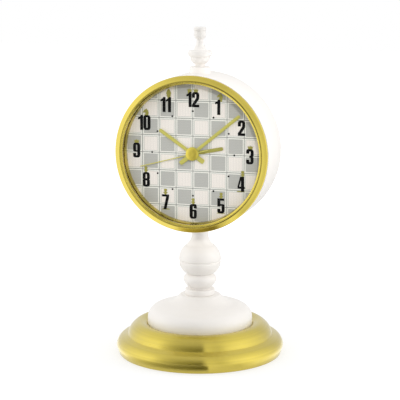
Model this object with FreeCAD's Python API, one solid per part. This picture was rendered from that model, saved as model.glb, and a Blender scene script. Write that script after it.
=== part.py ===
"""Pedestal alarm clock: a round drum case on a turned stem and a domed base.

Millimetres, +Z up, the dial faces -Y. The origin is the middle of the surface that the clock stands on.
Angles on the dial are in degrees clockwise from 12, seen from the front.
"""
import FreeCAD
import Part
import math
import os
from FreeCAD import Vector

# Stand: widths are radii, levels are heights over the table
base_r = 64.8
base_foot_z = 0.5
base_crest_z = 24.8
base_seat_z = 22.7
base_seat_lip = 2.0
base_seat_width = 2.9
base_edge_h = 0.6
base_slope_h = 4.6
base_wall = 2.3
base_step_share = 0.867
base_ring_shares = (
    (0.969, 0.0),
    (1.0, 0.253),
    ((0.988, 0.38), (0.932, 0.53)),
    (base_step_share, 0.592),
    ((0.818, 0.85), (0.748, 0.985)),
    ((0.7, 1.0), (0.645, 0.962)),
)
shelf_z = 7.8
shelf_t = 2.5
shelf_width = 11.0
pad_inset = 4.0
pad_t = 1.4
ballast_share = 0.875
ballast_gap = 0.2
dome_share = 0.6265
dome_top_z = 45.8
dome_wall = 2.0
dome_shares = (
    (1.0, 0.0),
    (1.0, 0.2),
    ((0.962, 0.44), (0.848, 0.606)),
    ((0.755, 0.665), (0.66, 0.7)),
    ((0.505, 0.81), (0.385, 0.985)),
    (0.375, 1.0),
)
dome_hollow_shares = (
    (1.0, 0.0),
    (1.0, 0.2),
    ((0.962, 0.4), (0.835, 0.54)),
    ((0.74, 0.59), (0.62, 0.63)),
    ((0.45, 0.74), (0.32, 0.9)),
)
collar_r = 11.5
collar_h = 4.5
collar_edge = 0.7
bead_r = 12.7
bead_h = 11.9
bead_shares = (
    (0.614, 0.0),
    (0.614, 0.08),
    ((0.86, 0.3), (0.992, 0.56)),
    ((0.998, 0.71), (0.945, 0.83)),
    (0.775, 1.0),
)
bulb_r = 16.3
bulb_h = 22.3
bulb_groove_share = 0.95
bulb_shares = (
    (0.61, 0.0),
    ((0.875, 0.17), (0.985, 0.435)),
    (bulb_groove_share, 0.45),
    (bulb_groove_share, 0.478),
    (1.0, 0.495),
    ((0.935, 0.745), (0.7, 1.0)),
)
neck_foot_r = 11.0
neck_r = 6.4
neck_flare_h = 8.1
neck_bend_share = 0.38
shadow_gap = 0.4

# Case: radii about the dial axis, depths along Y with the dial's front side negative
drum_low_z = 99.2
case_r = 59.1
case_wall = 2.0
case_front_y = -24.0
case_back_y = 20.6
case_edge = 2.4
back_plate_y = 13.0
back_plate_t = 2.0
shoulder_t = 4.0
shoulder_width = 6.1
bezel_front_y = -29.1
bezel_lip_w = 6.1
bezel_shares = (
    (1.0, 0.4),
    ((0.79, 0.77), (0.43, 0.98)),
    ((0.33, 0.995), (0.25, 0.93)),
    (0.21, 0.8),
    (0.0, 0.72),
)
bezel_skirt_t = 1.8
bezel_skirt_h = 10.5
lens_t = 1.5
lens_back_y = -23.5
dial_y = -19.5
dial_band_w = 7.1
dial_t = 0.8
dial_frame_t = 4.5
ring_draft = 0.8

# Finial on the case
finial_base_r = 8.2
finial_base_h = 4.5
finial_r = 9.3
finial_h = 29.7
finial_shares = (
    (0.41, 0.0),
    (0.41, 0.065),
    ((0.72, 0.14), (0.817, 0.263)),
    (0.94, 0.263),
    ((1.0, 0.335), (0.94, 0.41)),
    (0.58, 0.425),
    ((0.37, 0.53), (0.258, 0.684)),
    (0.42, 0.735),
    ((0.475, 0.785), (0.47, 0.85)),
    (0.452, 0.905),
    (0.5, 0.915),
    ((0.505, 0.96), (0.42, 1.0)),
)

# Fasteners
rod_r = 2.5
washer_r = 5.5
washer_t = 1.0
nut_r = 4.6
nut_h = 4.0
stud_r = 2.0
stud_nut_r = 4.0
stud_nut_h = 3.2
stud_reach = 10.4
back_screw_r = 1.0
back_screw_head_r = 2.4
back_screw_head_h = 1.4
back_screw_count = 4
back_screw_depth = 3.0
move_screw_r = 0.9
move_screw_head_r = 1.9
move_screw_head_h = 1.2
move_screw_depth = 5.0
mount_screw_depth = 1.6

# Clearances
fit_gap = 0.1
static_gap = 0.3
run_gap = 0.05
body_gap = 0.3
tight_gap = 0.02

# Clockwork case
move_wall = 1.2
move_face_t = 1.4
move_split_y = -5.0
post_r = 2.4
post_inset = 3.8
post_roof_gap = 1.7
ear_w = 6.0
ear_h = 9.0
ear_t = 2.0
bushing_r = 3.4
bushing_proud = 0.3

# Cell and its bay
cell_r = 7.25
cell_body_l = 49.2
cell_nub_r = 2.75
cell_nub_l = 1.3
contact_room = 3.1
bay_play = 0.35
bay_wall_t = 1.0
door_t = 1.2
door_latch_w = 9.0
door_latch_h = 1.0
contact_t = 0.4
contact_h = 9.0

# Wheels: layers are the front faces, counted back from the front plate's inner side
wheel_t = 1.0
thin_wheel_t = 0.8
pinion_t = 1.3
arbor_r = 0.5
set_arbor_r = 1.2
pivot_r = 0.3
setting_share = 3 / 14
setting_angle = 110.0
train_share = 27 / 140
third_angle = -35.0
middle_angle = 50.0
rotor_share = 0.15
rotor_angle = 0.0
alarm_layer = 0.3
hour_layer = 1.8
minute_layer = 3.3
middle_plate_layer = 5.0
centre_layer = 6.6
third_layer = 8.1
seconds_layer = 9.7
step_layer = 11.3
rotor_layer = 13.1
bridge_layer = 17.0
middle_plate_t = 1.0
bridge_t = 1.0
tooth_head = 0.8
tooth_foot = 1.15
tooth_root_share = 0.25
tooth_pitch_share = 0.2
tooth_tip_share = 0.09
alarm_teeth = 40
alarm_set_teeth = 20
cannon_teeth = 12
minute_teeth = 36
minute_pinion_teeth = 10
hour_teeth = 40
seconds_pinion_teeth = 8
third_teeth = 60
third_pinion_teeth = 8
centre_teeth = 64
seconds_teeth = 48
step_pinion_teeth = 8
step_teeth = 40
rotor_pinion_teeth = 8

# Pipes, from the middle outwards
second_arbor_r = 0.5
minute_pipe_r = 1.0
hour_pipe_r = 1.6
alarm_pipe_r = 2.2

# Motor, board and sounder
magnet_r = 3.0
magnet_t = 3.0
stator_t = 0.8
stator_lobe = 5.3
stator_lobe_low = 4.5
stator_bar = 3.0
stator_inset = 11.0
coil_share = 0.075
coil_inset = 14.2
coil_wall_gap = 0.46
board_inset = 3.0
board_h = 17.0
board_t = 1.0
board_wall_gap = 0.8
chip_r = 3.2
chip_h = 1.2
crystal_r = 1.0
crystal_l = 6.0
sounder_share = 9 / 56
sounder_t = 2.9
sounder_x_share = -13 / 56
sounder_z_share = 16 / 56
sound_hole_r = 0.8
sound_hole_ring_r = 4.0
sound_hole_count = 6
bridge_inset = 8.0
bridge_low_z = -2.5
bridge_coil_gap = 0.94
pillar_r = 1.4
pillar_inset = 1.8
pillar_low_z = 1.5
pillar_top_gap = 2.5

# Setting knobs and alarm switch
knob_r = 5.0
knob_h = 4.4
knob_rib_count = 18
knob_rib_depth = 0.35
switch_share = 0.125
switch_w = 5.0
switch_h = 3.2
switch_proud = 2.0
switch_stem_w = 3.0
switch_stem_h = 1.8
switch_flange_w = 10.4
switch_flange_h = 4.4
switch_flange_t = 1.2
switch_travel = 4.0

# Hands: how far each tip stays short of the dial's edge, and each tail's length from the axis
alarm_hand_short = 28.0
alarm_hand_tail = 0.0
alarm_hand_w = 2.7
alarm_hand_angle = 78.5
hour_hand_short = 21.1
hour_hand_tail = 10.7
hour_hand_w = 2.5
hour_hand_angle = 304.25
minute_hand_short = 4.8
minute_hand_tail = 12.1
minute_hand_w = 2.3
minute_hand_angle = 50.8
second_hand_short = 10.0
second_hand_tail = 13.0
second_hand_w = 0.9
second_hand_angle = 255.0
hand_t = 0.3
hand_pitch = 0.7
first_hand_gap = 0.3
alarm_boss_r = 4.4
hour_boss_r = 5.2
minute_boss_r = 4.8
second_boss_r = 4.4
second_cap_h = 0.6
second_cap_shares = ((1.0, 0.0), ((0.8, 0.6), (0.0, 1.0)))

# Worked-out places
cut_over = 1.0
dome_r = base_r * dome_share
pad_r = base_r - pad_inset
ballast_r = base_r * ballast_share
case_z = drum_low_z + case_r
case_inner_r = case_r - case_wall
bezel_lip_r = case_r - bezel_lip_w
dial_r = case_r - dial_band_w
skirt_r = case_inner_r - fit_gap
skirt_inner_r = skirt_r - bezel_skirt_t
lens_r = skirt_inner_r - static_gap
dial_back_y = dial_y + dial_t
front_y = dial_back_y + dial_frame_t
inner_y = front_y + move_face_t
back_y = back_plate_y + back_plate_t
collar_z = dome_top_z
bead_z = collar_z + collar_h
bulb_z = bead_z + bead_h
neck_z = bulb_z + bulb_h
finial_base_z = case_z + case_r
finial_z = finial_base_z + finial_base_h
hand_y = dial_y - bushing_proud - first_hand_gap
move_w = cell_body_l + cell_nub_l + contact_room + 2 * move_wall
bay_h = 2 * (cell_r + bay_play)
bay_low_z = move_wall - move_w / 2
bay_top_z = bay_low_z + bay_h
bay_floor_y = back_y - door_t - bay_h
post_low_z = bay_top_z + bay_wall_t + post_r + post_roof_gap
setting_distance = move_w * setting_share
train_distance = move_w * train_share
rotor_distance = move_w * rotor_share
coil_r = move_w * coil_share
coil_z = move_w / 2 - move_wall - coil_wall_gap - coil_r
bridge_w = move_w - 2 * bridge_inset
bridge_top_z = coil_z - coil_r - bridge_coil_gap
stator_l = bridge_w - stator_inset
coil_l = stator_l - coil_inset
board_layer = rotor_layer + magnet_t / 2 + coil_r
board_w = move_w - 2 * board_inset
board_top_z = move_w / 2 - move_wall - board_wall_gap
sounder_r = move_w * sounder_share
sounder_x = move_w * sounder_x_share
sounder_z = move_w * sounder_z_share
switch_z = move_w * switch_share
alarm_hand_l = dial_r - alarm_hand_short
hour_hand_l = dial_r - hour_hand_short
minute_hand_l = dial_r - minute_hand_short
second_hand_l = dial_r - second_hand_short
rod_bore_r = rod_r + fit_gap
bend_share = 1 - math.sqrt(0.5)


def layer_y(layer):
    """Depth of a wheel layer behind the front plate."""
    return inner_y + layer


def along(angle, distance):
    """Place (x, z) at a distance from the dial axis, in a direction clockwise from 12."""
    turn = math.radians(angle)
    return distance * math.sin(turn), distance * math.cos(turn)


def outline_face(start, steps):
    """Flat face in the XZ plane: a step is a corner, or an arc given by its middle and its end."""
    edges = []
    first = Vector(start[0], 0, start[1])
    here = first
    for step in steps:
        if isinstance(step[0], tuple):
            middle = Vector(step[0][0], 0, step[0][1])
            there = Vector(step[1][0], 0, step[1][1])
            edges.append(Part.Arc(here, middle, there).toShape())
        else:
            there = Vector(step[0], 0, step[1])
            edges.append(Part.LineSegment(here, there).toShape())
        here = there
    edges.append(Part.LineSegment(here, first).toShape())
    return Part.Face(Part.Wire(edges))


def turned(start, steps):
    """Solid of revolution about the stand's axis from an outline of (radius, height)."""
    return outline_face(start, steps).revolve(Vector(0, 0, 0), Vector(0, 0, 1), 360)


def turned_case(start, steps):
    """Solid of revolution about the dial axis from an outline of (radius, depth)."""
    shape = turned(start, steps)
    shape.rotate(Vector(0, 0, 0), Vector(1, 0, 0), -90)
    shape.translate(Vector(0, 0, case_z))
    return shape


def scaled(shares, width, low, height, inner=0):
    """Outline steps from shares of a width, counted from an inner radius, and of a height."""
    steps = []
    for point in shares:
        if isinstance(point[0], tuple):
            steps.append(tuple((inner + r * width, low + z * height) for r, z in point))
        else:
            steps.append((inner + point[0] * width, low + point[1] * height))
    return steps


def turned_shares(shares, width, low, high, bore=0):
    """Turned piece between two heights, from its outline's shares, with a bore."""
    steps = scaled(shares, width, low, high - low)
    return turned(steps[0], steps[1:] + [(bore, high), (bore, low)])


def rod(radius, low, high, x=0, y=0):
    """Upright cylinder between two heights."""
    return Part.makeCylinder(radius, high - low, Vector(x, y, low))


def pin(radius, front, back, place=(0, 0)):
    """Cylinder along Y between two depths, placed (x, z) from the dial axis."""
    middle = Vector(place[0], front, case_z + place[1])
    return Part.makeCylinder(radius, back - front, middle, Vector(0, 1, 0))


def block(x_low, x_high, front, back, z_low, z_high):
    """Box with its x and z counted from the dial axis."""
    corner = Vector(x_low, front, case_z + z_low)
    return Part.makeBox(x_high - x_low, back - front, z_high - z_low, corner)


def plate(points, front, back):
    """Flat piece across the dial axis from (x, z) corners."""
    corners = [Vector(x, front, case_z + z) for x, z in points]
    face = Part.Face(Part.makePolygon(corners + corners[:1]))
    return face.extrude(Vector(0, back - front, 0))


def hexagon(radius, low, high):
    """Upright hexagonal prism."""
    corners = [
        Vector(radius * math.cos(turn * math.pi / 3), radius * math.sin(turn * math.pi / 3), low)
        for turn in range(6)
    ]
    return Part.Face(Part.makePolygon(corners + corners[:1])).extrude(Vector(0, 0, high - low))


def toothed(teeth, module, front, back, place, tooth_at):
    """Toothed disc with one tooth's middle in a direction clockwise from 12."""
    pitch_r = teeth * module / 2
    foot_r = pitch_r - tooth_foot * module
    head_r = pitch_r + tooth_head * module
    corners = (
        (foot_r, -tooth_root_share),
        (pitch_r, -tooth_pitch_share),
        (head_r, -tooth_tip_share),
        (head_r, tooth_tip_share),
        (pitch_r, tooth_pitch_share),
        (foot_r, tooth_root_share),
    )
    points = []
    for tooth in range(teeth):
        for radius, share in corners:
            x, z = along(tooth_at + (tooth + share) * 360 / teeth, radius)
            points.append((place[0] + x, place[1] + z))
    return plate(points, front, back)


def gap_at(teeth, angle):
    """Direction of a tooth such that a gap lies at the given angle."""
    return angle + 180 / teeth


def fused(*shapes):
    """One solid from touching or overlapping shapes."""
    return shapes[0].multiFuse(list(shapes[1:])).removeSplitter()


def save(name, *shapes):
    """Writes one piece, or a group of like pieces, to its own file."""
    shape = shapes[0] if len(shapes) == 1 else Part.makeCompound(list(shapes))
    shape.exportStep("parts/" + name + ".step")
    print(name, len(shape.Solids), round(shape.Volume, 1), shape.isValid())


def base_parts():
    """Felt pad, brass ring, iron weight and painted dome."""
    save("base_pad", rod(pad_r, 0, pad_t))
    edge_r = dome_r + fit_gap
    inside_r = base_r * base_step_share - base_wall
    shelf_r = inside_r - shelf_width
    shelf_top = shelf_z + shelf_t
    seat_low = base_seat_z - base_seat_lip
    seat_r = dome_r - base_seat_width
    pocket_r = ballast_r + static_gap
    outside = scaled(base_ring_shares, base_r, base_foot_z, base_crest_z - base_foot_z)
    inside = [
        (edge_r, base_seat_z + base_edge_h),
        (edge_r, base_seat_z),
        (seat_r, base_seat_z),
        (seat_r, seat_low),
        (dome_r + base_wall, seat_low),
        (inside_r - base_wall, shelf_top + base_slope_h),
        (inside_r, shelf_top),
        (shelf_r, shelf_top),
        (shelf_r, shelf_z),
        (pocket_r, shelf_z),
        (pocket_r, pad_t),
        (pad_r + static_gap, pad_t),
        (pad_r + static_gap, base_foot_z),
    ]
    save("base_ring", turned(outside[0], outside[1:] + inside))
    ballast_top = shelf_z - ballast_gap
    ballast_low = pad_t + nut_h + washer_t
    ballast = rod(ballast_r, pad_t, ballast_top)
    ballast = ballast.cut(rod(rod_bore_r, pad_t, ballast_top))
    ballast = ballast.cut(rod(washer_r + static_gap, pad_t, ballast_low))
    save("base_ballast", ballast)
    shell = turned_shares(dome_shares, dome_r, base_seat_z, dome_top_z, rod_bore_r)
    hollow_r = dome_r - dome_wall
    hollow = scaled(dome_hollow_shares, hollow_r, base_seat_z, dome_top_z - base_seat_z)
    hollow_top = hollow[-1][-1][-1]
    shell = shell.cut(turned(hollow[0], hollow[1:] + [(0, hollow_top), (0, base_seat_z)]))
    save("base_dome", shell)


def stem_parts():
    """Turned pieces threaded on the tie rod, and the rod with its nuts and washers."""
    foot_r = collar_r - shadow_gap
    foot_z = collar_z + shadow_gap
    bend = collar_edge * bend_share
    collar = turned((rod_bore_r, collar_z), [
        (foot_r, collar_z),
        (foot_r, foot_z),
        (collar_r, foot_z),
        (collar_r, bead_z - collar_edge),
        ((collar_r - bend, bead_z - bend), (collar_r - collar_edge, bead_z)),
        (rod_bore_r, bead_z),
    ])
    save("stem_collar", collar)
    save("stem_bead", turned_shares(bead_shares, bead_r, bead_z, bulb_z, rod_bore_r))
    save("stem_bulb", turned_shares(bulb_shares, bulb_r, bulb_z, neck_z, rod_bore_r))
    neck_top = case_z - case_inner_r
    flare_r = neck_r + (neck_foot_r - neck_r) * neck_bend_share
    flare_z = neck_z + neck_flare_h * neck_bend_share
    neck = turned((rod_bore_r, neck_z), [
        (neck_foot_r, neck_z),
        ((flare_r, flare_z), (neck_r, neck_z + neck_flare_h)),
        (neck_r, neck_top),
        (rod_bore_r, neck_top),
    ])
    drum = pin(case_r + tight_gap, case_front_y - cut_over, case_back_y + cut_over)
    save("stem_neck", neck.cut(drum))
    washer_z = case_z - math.sqrt(case_inner_r ** 2 - washer_r ** 2) + tight_gap
    rod_low = pad_t + tight_gap
    rod_top = washer_z + washer_t + nut_h + rod_r
    save("tie_rod", rod(rod_r, rod_low, rod_top))
    washers = []
    nuts = []
    for low, nut_low in ((pad_t + nut_h, pad_t), (washer_z, washer_z + washer_t)):
        washers.append(rod(washer_r, low, low + washer_t).cut(rod(rod_bore_r, low, low + washer_t)))
        bore = rod(rod_r + tight_gap, nut_low, nut_low + nut_h)
        nuts.append(hexagon(nut_r, nut_low, nut_low + nut_h).cut(bore))
    save("tie_rod_washers", *washers)
    save("tie_rod_nuts", *nuts)


def case_parts():
    """Drum, bezel, lens, dial and its ring and frame, and the back cover with its screws."""
    edge_middle = case_edge * bend_share
    shoulder_r = case_inner_r - shoulder_width
    drum = turned_case((case_inner_r, case_front_y), [
        (case_r, case_front_y),
        (case_r, case_back_y - case_edge),
        ((case_r - edge_middle, case_back_y - edge_middle), (case_r - case_edge, case_back_y)),
        (case_inner_r, case_back_y),
        (case_inner_r, back_plate_y),
        (shoulder_r, back_plate_y),
        (shoulder_r, back_plate_y - shoulder_t),
        (case_inner_r, back_plate_y - shoulder_t - shoulder_width / 2),
    ])
    low_bore = rod(rod_bore_r, case_z - case_r - cut_over, case_z - case_inner_r + cut_over)
    top_bore = rod(stud_r + fit_gap, case_z + case_inner_r - cut_over, case_z + case_r + cut_over)
    drum = drum.cut(low_bore).cut(top_bore)
    window_half = move_w / 2 + body_gap
    cover = pin(case_inner_r - static_gap, back_plate_y, back_y)
    cover = cover.cut(block(-window_half, window_half, back_plate_y, back_y, -window_half, window_half))
    screw_ring_r = case_inner_r - shoulder_width / 2
    screws = []
    for index in range(back_screw_count):
        place = along((index + 0.5) * 360 / back_screw_count, screw_ring_r)
        deep = back_plate_y - back_screw_depth
        hole = pin(back_screw_r + tight_gap, deep, back_y, place)
        drum = drum.cut(hole)
        cover = cover.cut(hole)
        shank = pin(back_screw_r, deep, back_y, place)
        screws.append(fused(shank, pin(back_screw_head_r, back_y, back_y + back_screw_head_h, place)))
    save("case_drum", drum)
    save("back_cover", cover)
    save("back_cover_screws", *screws)

    lens_front_y = lens_back_y - lens_t
    skirt_y = case_front_y + bezel_skirt_h
    depth = bezel_front_y - case_front_y
    steps = scaled(bezel_shares, case_r - bezel_lip_r, case_front_y, depth, bezel_lip_r)
    bezel = turned_case((case_r, case_front_y), steps + [
        (bezel_lip_r, lens_front_y - tight_gap),
        (skirt_inner_r, lens_front_y - tight_gap),
        (skirt_inner_r, skirt_y),
        (skirt_r, skirt_y),
        (skirt_r, case_front_y),
    ])
    save("bezel", bezel)
    save("lens", pin(lens_r, lens_front_y, lens_back_y))
    ring = turned_case((dial_r, dial_y - tight_gap), [
        (dial_r + ring_draft, lens_back_y + tight_gap),
        (lens_r, lens_back_y + tight_gap),
        (lens_r, dial_y - tight_gap),
    ])
    save("dial_ring", ring)
    hole = pin(bushing_r + fit_gap, dial_y, front_y)
    save("dial_plate", pin(lens_r, dial_y, dial_back_y).cut(hole))
    frame = pin(lens_r, dial_back_y, front_y).cut(hole)
    for place in ear_places():
        frame = frame.cut(pin(move_screw_r + tight_gap, front_y - mount_screw_depth, front_y, place))
    save("dial_frame", frame)


def finial_parts():
    """Turned ornament on top of the case, with its stud and nut."""
    drum = pin(case_r + tight_gap, case_front_y - cut_over, case_back_y + cut_over)
    foot = rod(finial_base_r, finial_base_z - case_wall, finial_z).cut(drum)
    edge_z = finial_z - collar_edge
    edge_r = finial_base_r - collar_edge
    bend = collar_edge * bend_share
    trim = turned((edge_r, finial_z), [
        ((finial_base_r - bend, finial_z - bend), (finial_base_r, edge_z)),
        (finial_base_r + cut_over, edge_z),
        (finial_base_r + cut_over, finial_z + cut_over),
        (edge_r, finial_z + cut_over),
    ])
    bore = rod(stud_r + fit_gap, finial_base_z - case_wall, finial_z)
    save("finial_base", foot.cut(trim).cut(bore))
    body = turned_shares(finial_shares, finial_r, finial_z, finial_z + finial_h)
    stud_top = finial_z + stud_reach
    body = body.cut(rod(stud_r + tight_gap, finial_z - cut_over, stud_top + fit_gap))
    save("finial", body)
    nut_top = case_z + math.sqrt(case_inner_r ** 2 - stud_nut_r ** 2) - tight_gap
    save("finial_stud", rod(stud_r, nut_top - stud_nut_h - stud_r, stud_top))
    nut = hexagon(stud_nut_r, nut_top - stud_nut_h, nut_top)
    save("finial_nut", nut.cut(rod(stud_r + tight_gap, nut_top - stud_nut_h, nut_top)))


def post_places():
    """Middles (x, z) of the four screw posts in the clockwork's case."""
    side = move_w / 2 - post_inset
    return [(-side, side), (side, side), (-side, post_low_z), (side, post_low_z)]


def ear_places():
    """Middles (x, z) of the two ears that hold the clockwork to the dial frame."""
    side = (move_w + ear_w) / 2
    return [(-side, 0), (side, 0)]


def post_notches(front, back):
    """Cutters that clear the posts at the edges of a plate inside the clockwork's case."""
    reach = post_r + static_gap
    half = move_w / 2
    notches = []
    for x, z in post_places():
        top = half if z > 0 else z + reach
        side = abs(x) - reach
        low_x = side if x > 0 else -half
        notches.append(block(low_x, low_x + half - side, front, back, z - reach, top))
    return notches


def clockwork_case_parts():
    """Front and rear halves of the clockwork's case, with the screws, cell, contacts and door."""
    half = move_w / 2
    inside = half - move_wall
    front = block(-half, half, front_y, move_split_y, -half, half)
    front = front.cut(block(-inside, inside, inner_y, move_split_y, -inside, inside))
    posts = [pin(post_r, inner_y, move_split_y, place) for place in post_places()]
    ears = []
    for x, z in ear_places():
        low_z, high_z = z - ear_h / 2, z + ear_h / 2
        ears.append(block(x - ear_w / 2, x + ear_w / 2, front_y, front_y + ear_t, low_z, high_z))
    bushing = pin(bushing_r, dial_y - bushing_proud, front_y)
    front = fused(front, bushing, *posts, *ears)
    front = front.cut(pin(alarm_pipe_r + run_gap, dial_y - bushing_proud, inner_y))
    mount_screws = []
    for place in ear_places():
        seat = front_y + ear_t
        deep = front_y - mount_screw_depth
        front = front.cut(pin(move_screw_r + tight_gap, front_y, seat, place))
        head = pin(move_screw_head_r, seat, seat + move_screw_head_h, place)
        mount_screws.append(fused(pin(move_screw_r, deep, seat, place), head))

    wall_y = back_y - move_face_t
    bay_roof = bay_top_z + bay_wall_t
    rear = block(-half, half, move_split_y, back_y, -half, half)
    rear = rear.cut(block(-inside, inside, move_split_y, wall_y, bay_roof, inside))
    rear = rear.cut(block(-inside, inside, bay_floor_y, back_y, bay_low_z, bay_top_z))
    bay_front = bay_floor_y - bay_wall_t
    rear = rear.cut(block(-inside, inside, move_split_y, bay_front, bay_low_z, bay_roof))
    rear = fused(rear, *[pin(post_r, move_split_y, wall_y, place) for place in post_places()])
    latch_half = door_latch_w / 2
    latch_y = back_y - door_t
    rear = rear.cut(block(-latch_half, latch_half, latch_y, back_y, bay_top_z, bay_top_z + door_latch_h))
    screws = []
    for place in post_places():
        hole = pin(move_screw_r + tight_gap, move_split_y - move_screw_depth, back_y, place)
        front = front.cut(hole)
        rear = rear.cut(hole)
        shank = pin(move_screw_r, move_split_y - move_screw_depth, back_y, place)
        screws.append(fused(shank, pin(move_screw_head_r, back_y, back_y + move_screw_head_h, place)))
    for arbor in (set_place(), alarm_set_place()):
        rear = rear.cut(pin(set_arbor_r + run_gap, wall_y, back_y, arbor))
        front = front.cut(pin(pivot_r + run_gap, inner_y - move_face_t / 2, inner_y, arbor))
    slot_w = switch_stem_w + switch_travel + 2 * body_gap
    slot_h = switch_stem_h + 2 * body_gap
    slot_x = -(switch_travel + switch_stem_w) / 2 - body_gap
    slot_z = switch_z - slot_h / 2
    rear = rear.cut(block(slot_x, slot_x + slot_w, wall_y, back_y, slot_z, slot_z + slot_h))
    rear = rear.cut(pin(sound_hole_r, wall_y, back_y, (sounder_x, sounder_z)))
    for index in range(sound_hole_count):
        x, z = along(index * 360 / sound_hole_count, sound_hole_ring_r)
        rear = rear.cut(pin(sound_hole_r, wall_y, back_y, (sounder_x + x, sounder_z + z)))
    save("movement_front_case", front)
    save("movement_rear_case", rear)
    save("movement_case_screws", *screws)
    save("movement_mount_screws", *mount_screws)

    cell_y = bay_floor_y + bay_play + cell_r
    cell_z = (bay_low_z + bay_top_z) / 2
    left = -inside + contact_t + tight_gap
    axis = Vector(1, 0, 0)
    nub = Part.makeCylinder(cell_nub_r, cell_nub_l, Vector(left, cell_y, case_z + cell_z), axis)
    body_x = left + cell_nub_l
    body = Part.makeCylinder(cell_r, cell_body_l, Vector(body_x, cell_y, case_z + cell_z), axis)
    save("battery", fused(nub, body))
    contact_low = cell_z - contact_h / 2
    contact_high = cell_z + contact_h / 2
    contact_front = cell_y - contact_h / 2
    contact_back = cell_y + contact_h / 2
    save("battery_contact_plus", block(-inside, contact_t - inside, contact_front, contact_back,
                                       contact_low, contact_high))
    right = body_x + cell_body_l + tight_gap
    leaf = outline_face((inside, contact_front), [
        (inside, contact_back),
        (inside - contact_t, contact_back),
        (inside - contact_t, contact_front + contact_t),
        (right + contact_t, cell_y + contact_t / 2),
        (right, cell_y),
        (right + contact_t / 4, cell_y - contact_t),
        (inside - contact_t, contact_front),
    ])
    leaf = leaf.extrude(Vector(0, contact_h, 0))
    leaf.rotate(Vector(0, 0, 0), Vector(1, 0, 0), -90)
    leaf.translate(Vector(0, 0, case_z + contact_high))
    save("battery_contact_minus", leaf)
    door_half = inside - body_gap
    door = block(-door_half, door_half, latch_y, back_y, bay_low_z + body_gap, bay_top_z - body_gap)
    tab_half = latch_half - body_gap
    tab_z = bay_top_z - body_gap
    tab = block(-tab_half, tab_half, latch_y, back_y, tab_z, tab_z + door_latch_h)
    save("battery_door", fused(door, tab))


def set_place():
    """Place (x, z) of the time-setting arbor."""
    return along(setting_angle, setting_distance)


def alarm_set_place():
    """Place (x, z) of the alarm-setting arbor."""
    return along(-setting_angle, setting_distance)


def step_place():
    """Place (x, z) of the wheel between the rotor and the seconds wheel."""
    return along(middle_angle, train_distance)


def rotor_place():
    """Place (x, z) of the rotor."""
    x, z = step_place()
    shift_x, shift_z = along(rotor_angle, rotor_distance)
    return x + shift_x, z + shift_z


def motion_wheels():
    """Wheels that carry the alarm, hour and minute hands and the two setting arbors."""
    alarm_hand_y = hand_y
    hour_hand_y = alarm_hand_y - hand_pitch
    minute_hand_y = hour_hand_y - hand_pitch
    alarm_front = layer_y(alarm_layer)
    alarm_module = 2 * setting_distance / (alarm_teeth + alarm_set_teeth)
    wheel = toothed(alarm_teeth, alarm_module, alarm_front, alarm_front + wheel_t, (0, 0), -setting_angle)
    wheel = fused(wheel, pin(alarm_pipe_r, alarm_hand_y - hand_t, alarm_front + wheel_t))
    save("alarm_wheel", wheel.cut(pin(hour_pipe_r + run_gap, alarm_hand_y - hand_t, alarm_front + wheel_t)))
    gear = toothed(alarm_set_teeth, alarm_module, alarm_front, alarm_front + wheel_t, alarm_set_place(),
                   gap_at(alarm_set_teeth, 180 - setting_angle))
    save("alarm_set_gear", fused(gear, *setting_arbor(alarm_set_place())))

    hour_front = layer_y(hour_layer)
    hour_module = 2 * setting_distance / (hour_teeth + minute_pinion_teeth)
    wheel = toothed(hour_teeth, hour_module, hour_front, hour_front + wheel_t, (0, 0), setting_angle)
    wheel = fused(wheel, pin(hour_pipe_r, hour_hand_y - hand_t, hour_front + wheel_t))
    save("hour_wheel", wheel.cut(pin(minute_pipe_r + run_gap, hour_hand_y - hand_t, hour_front + wheel_t)))

    minute_front = layer_y(minute_layer)
    minute_module = 2 * setting_distance / (cannon_teeth + minute_teeth)
    pipe_back = layer_y(centre_layer) + thin_wheel_t
    pinion = toothed(cannon_teeth, minute_module, minute_front, minute_front + wheel_t, (0, 0), setting_angle)
    pipe = pin(minute_pipe_r, minute_hand_y - hand_t, pipe_back)
    bore = pin(second_arbor_r + run_gap, minute_hand_y - hand_t, pipe_back)
    save("minute_pinion", fused(pinion, pipe).cut(bore))
    wheel = toothed(minute_teeth, minute_module, minute_front, minute_front + wheel_t, set_place(),
                    gap_at(minute_teeth, 180 + setting_angle))
    pinion = toothed(minute_pinion_teeth, hour_module, hour_front, minute_front, set_place(),
                     gap_at(minute_pinion_teeth, 180 + setting_angle))
    save("minute_wheel", fused(wheel, pinion, *setting_arbor(set_place())))


def setting_arbor(place):
    """Arbor from its front pivot to the end that holds a knob."""
    front = layer_y(alarm_layer) - body_gap / 2
    pivot_front = inner_y - move_face_t / 2 + body_gap
    knob_front = back_y + body_gap
    return (pin(set_arbor_r, front, knob_front + knob_h / 2, place), pin(pivot_r, pivot_front, front, place))


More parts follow.
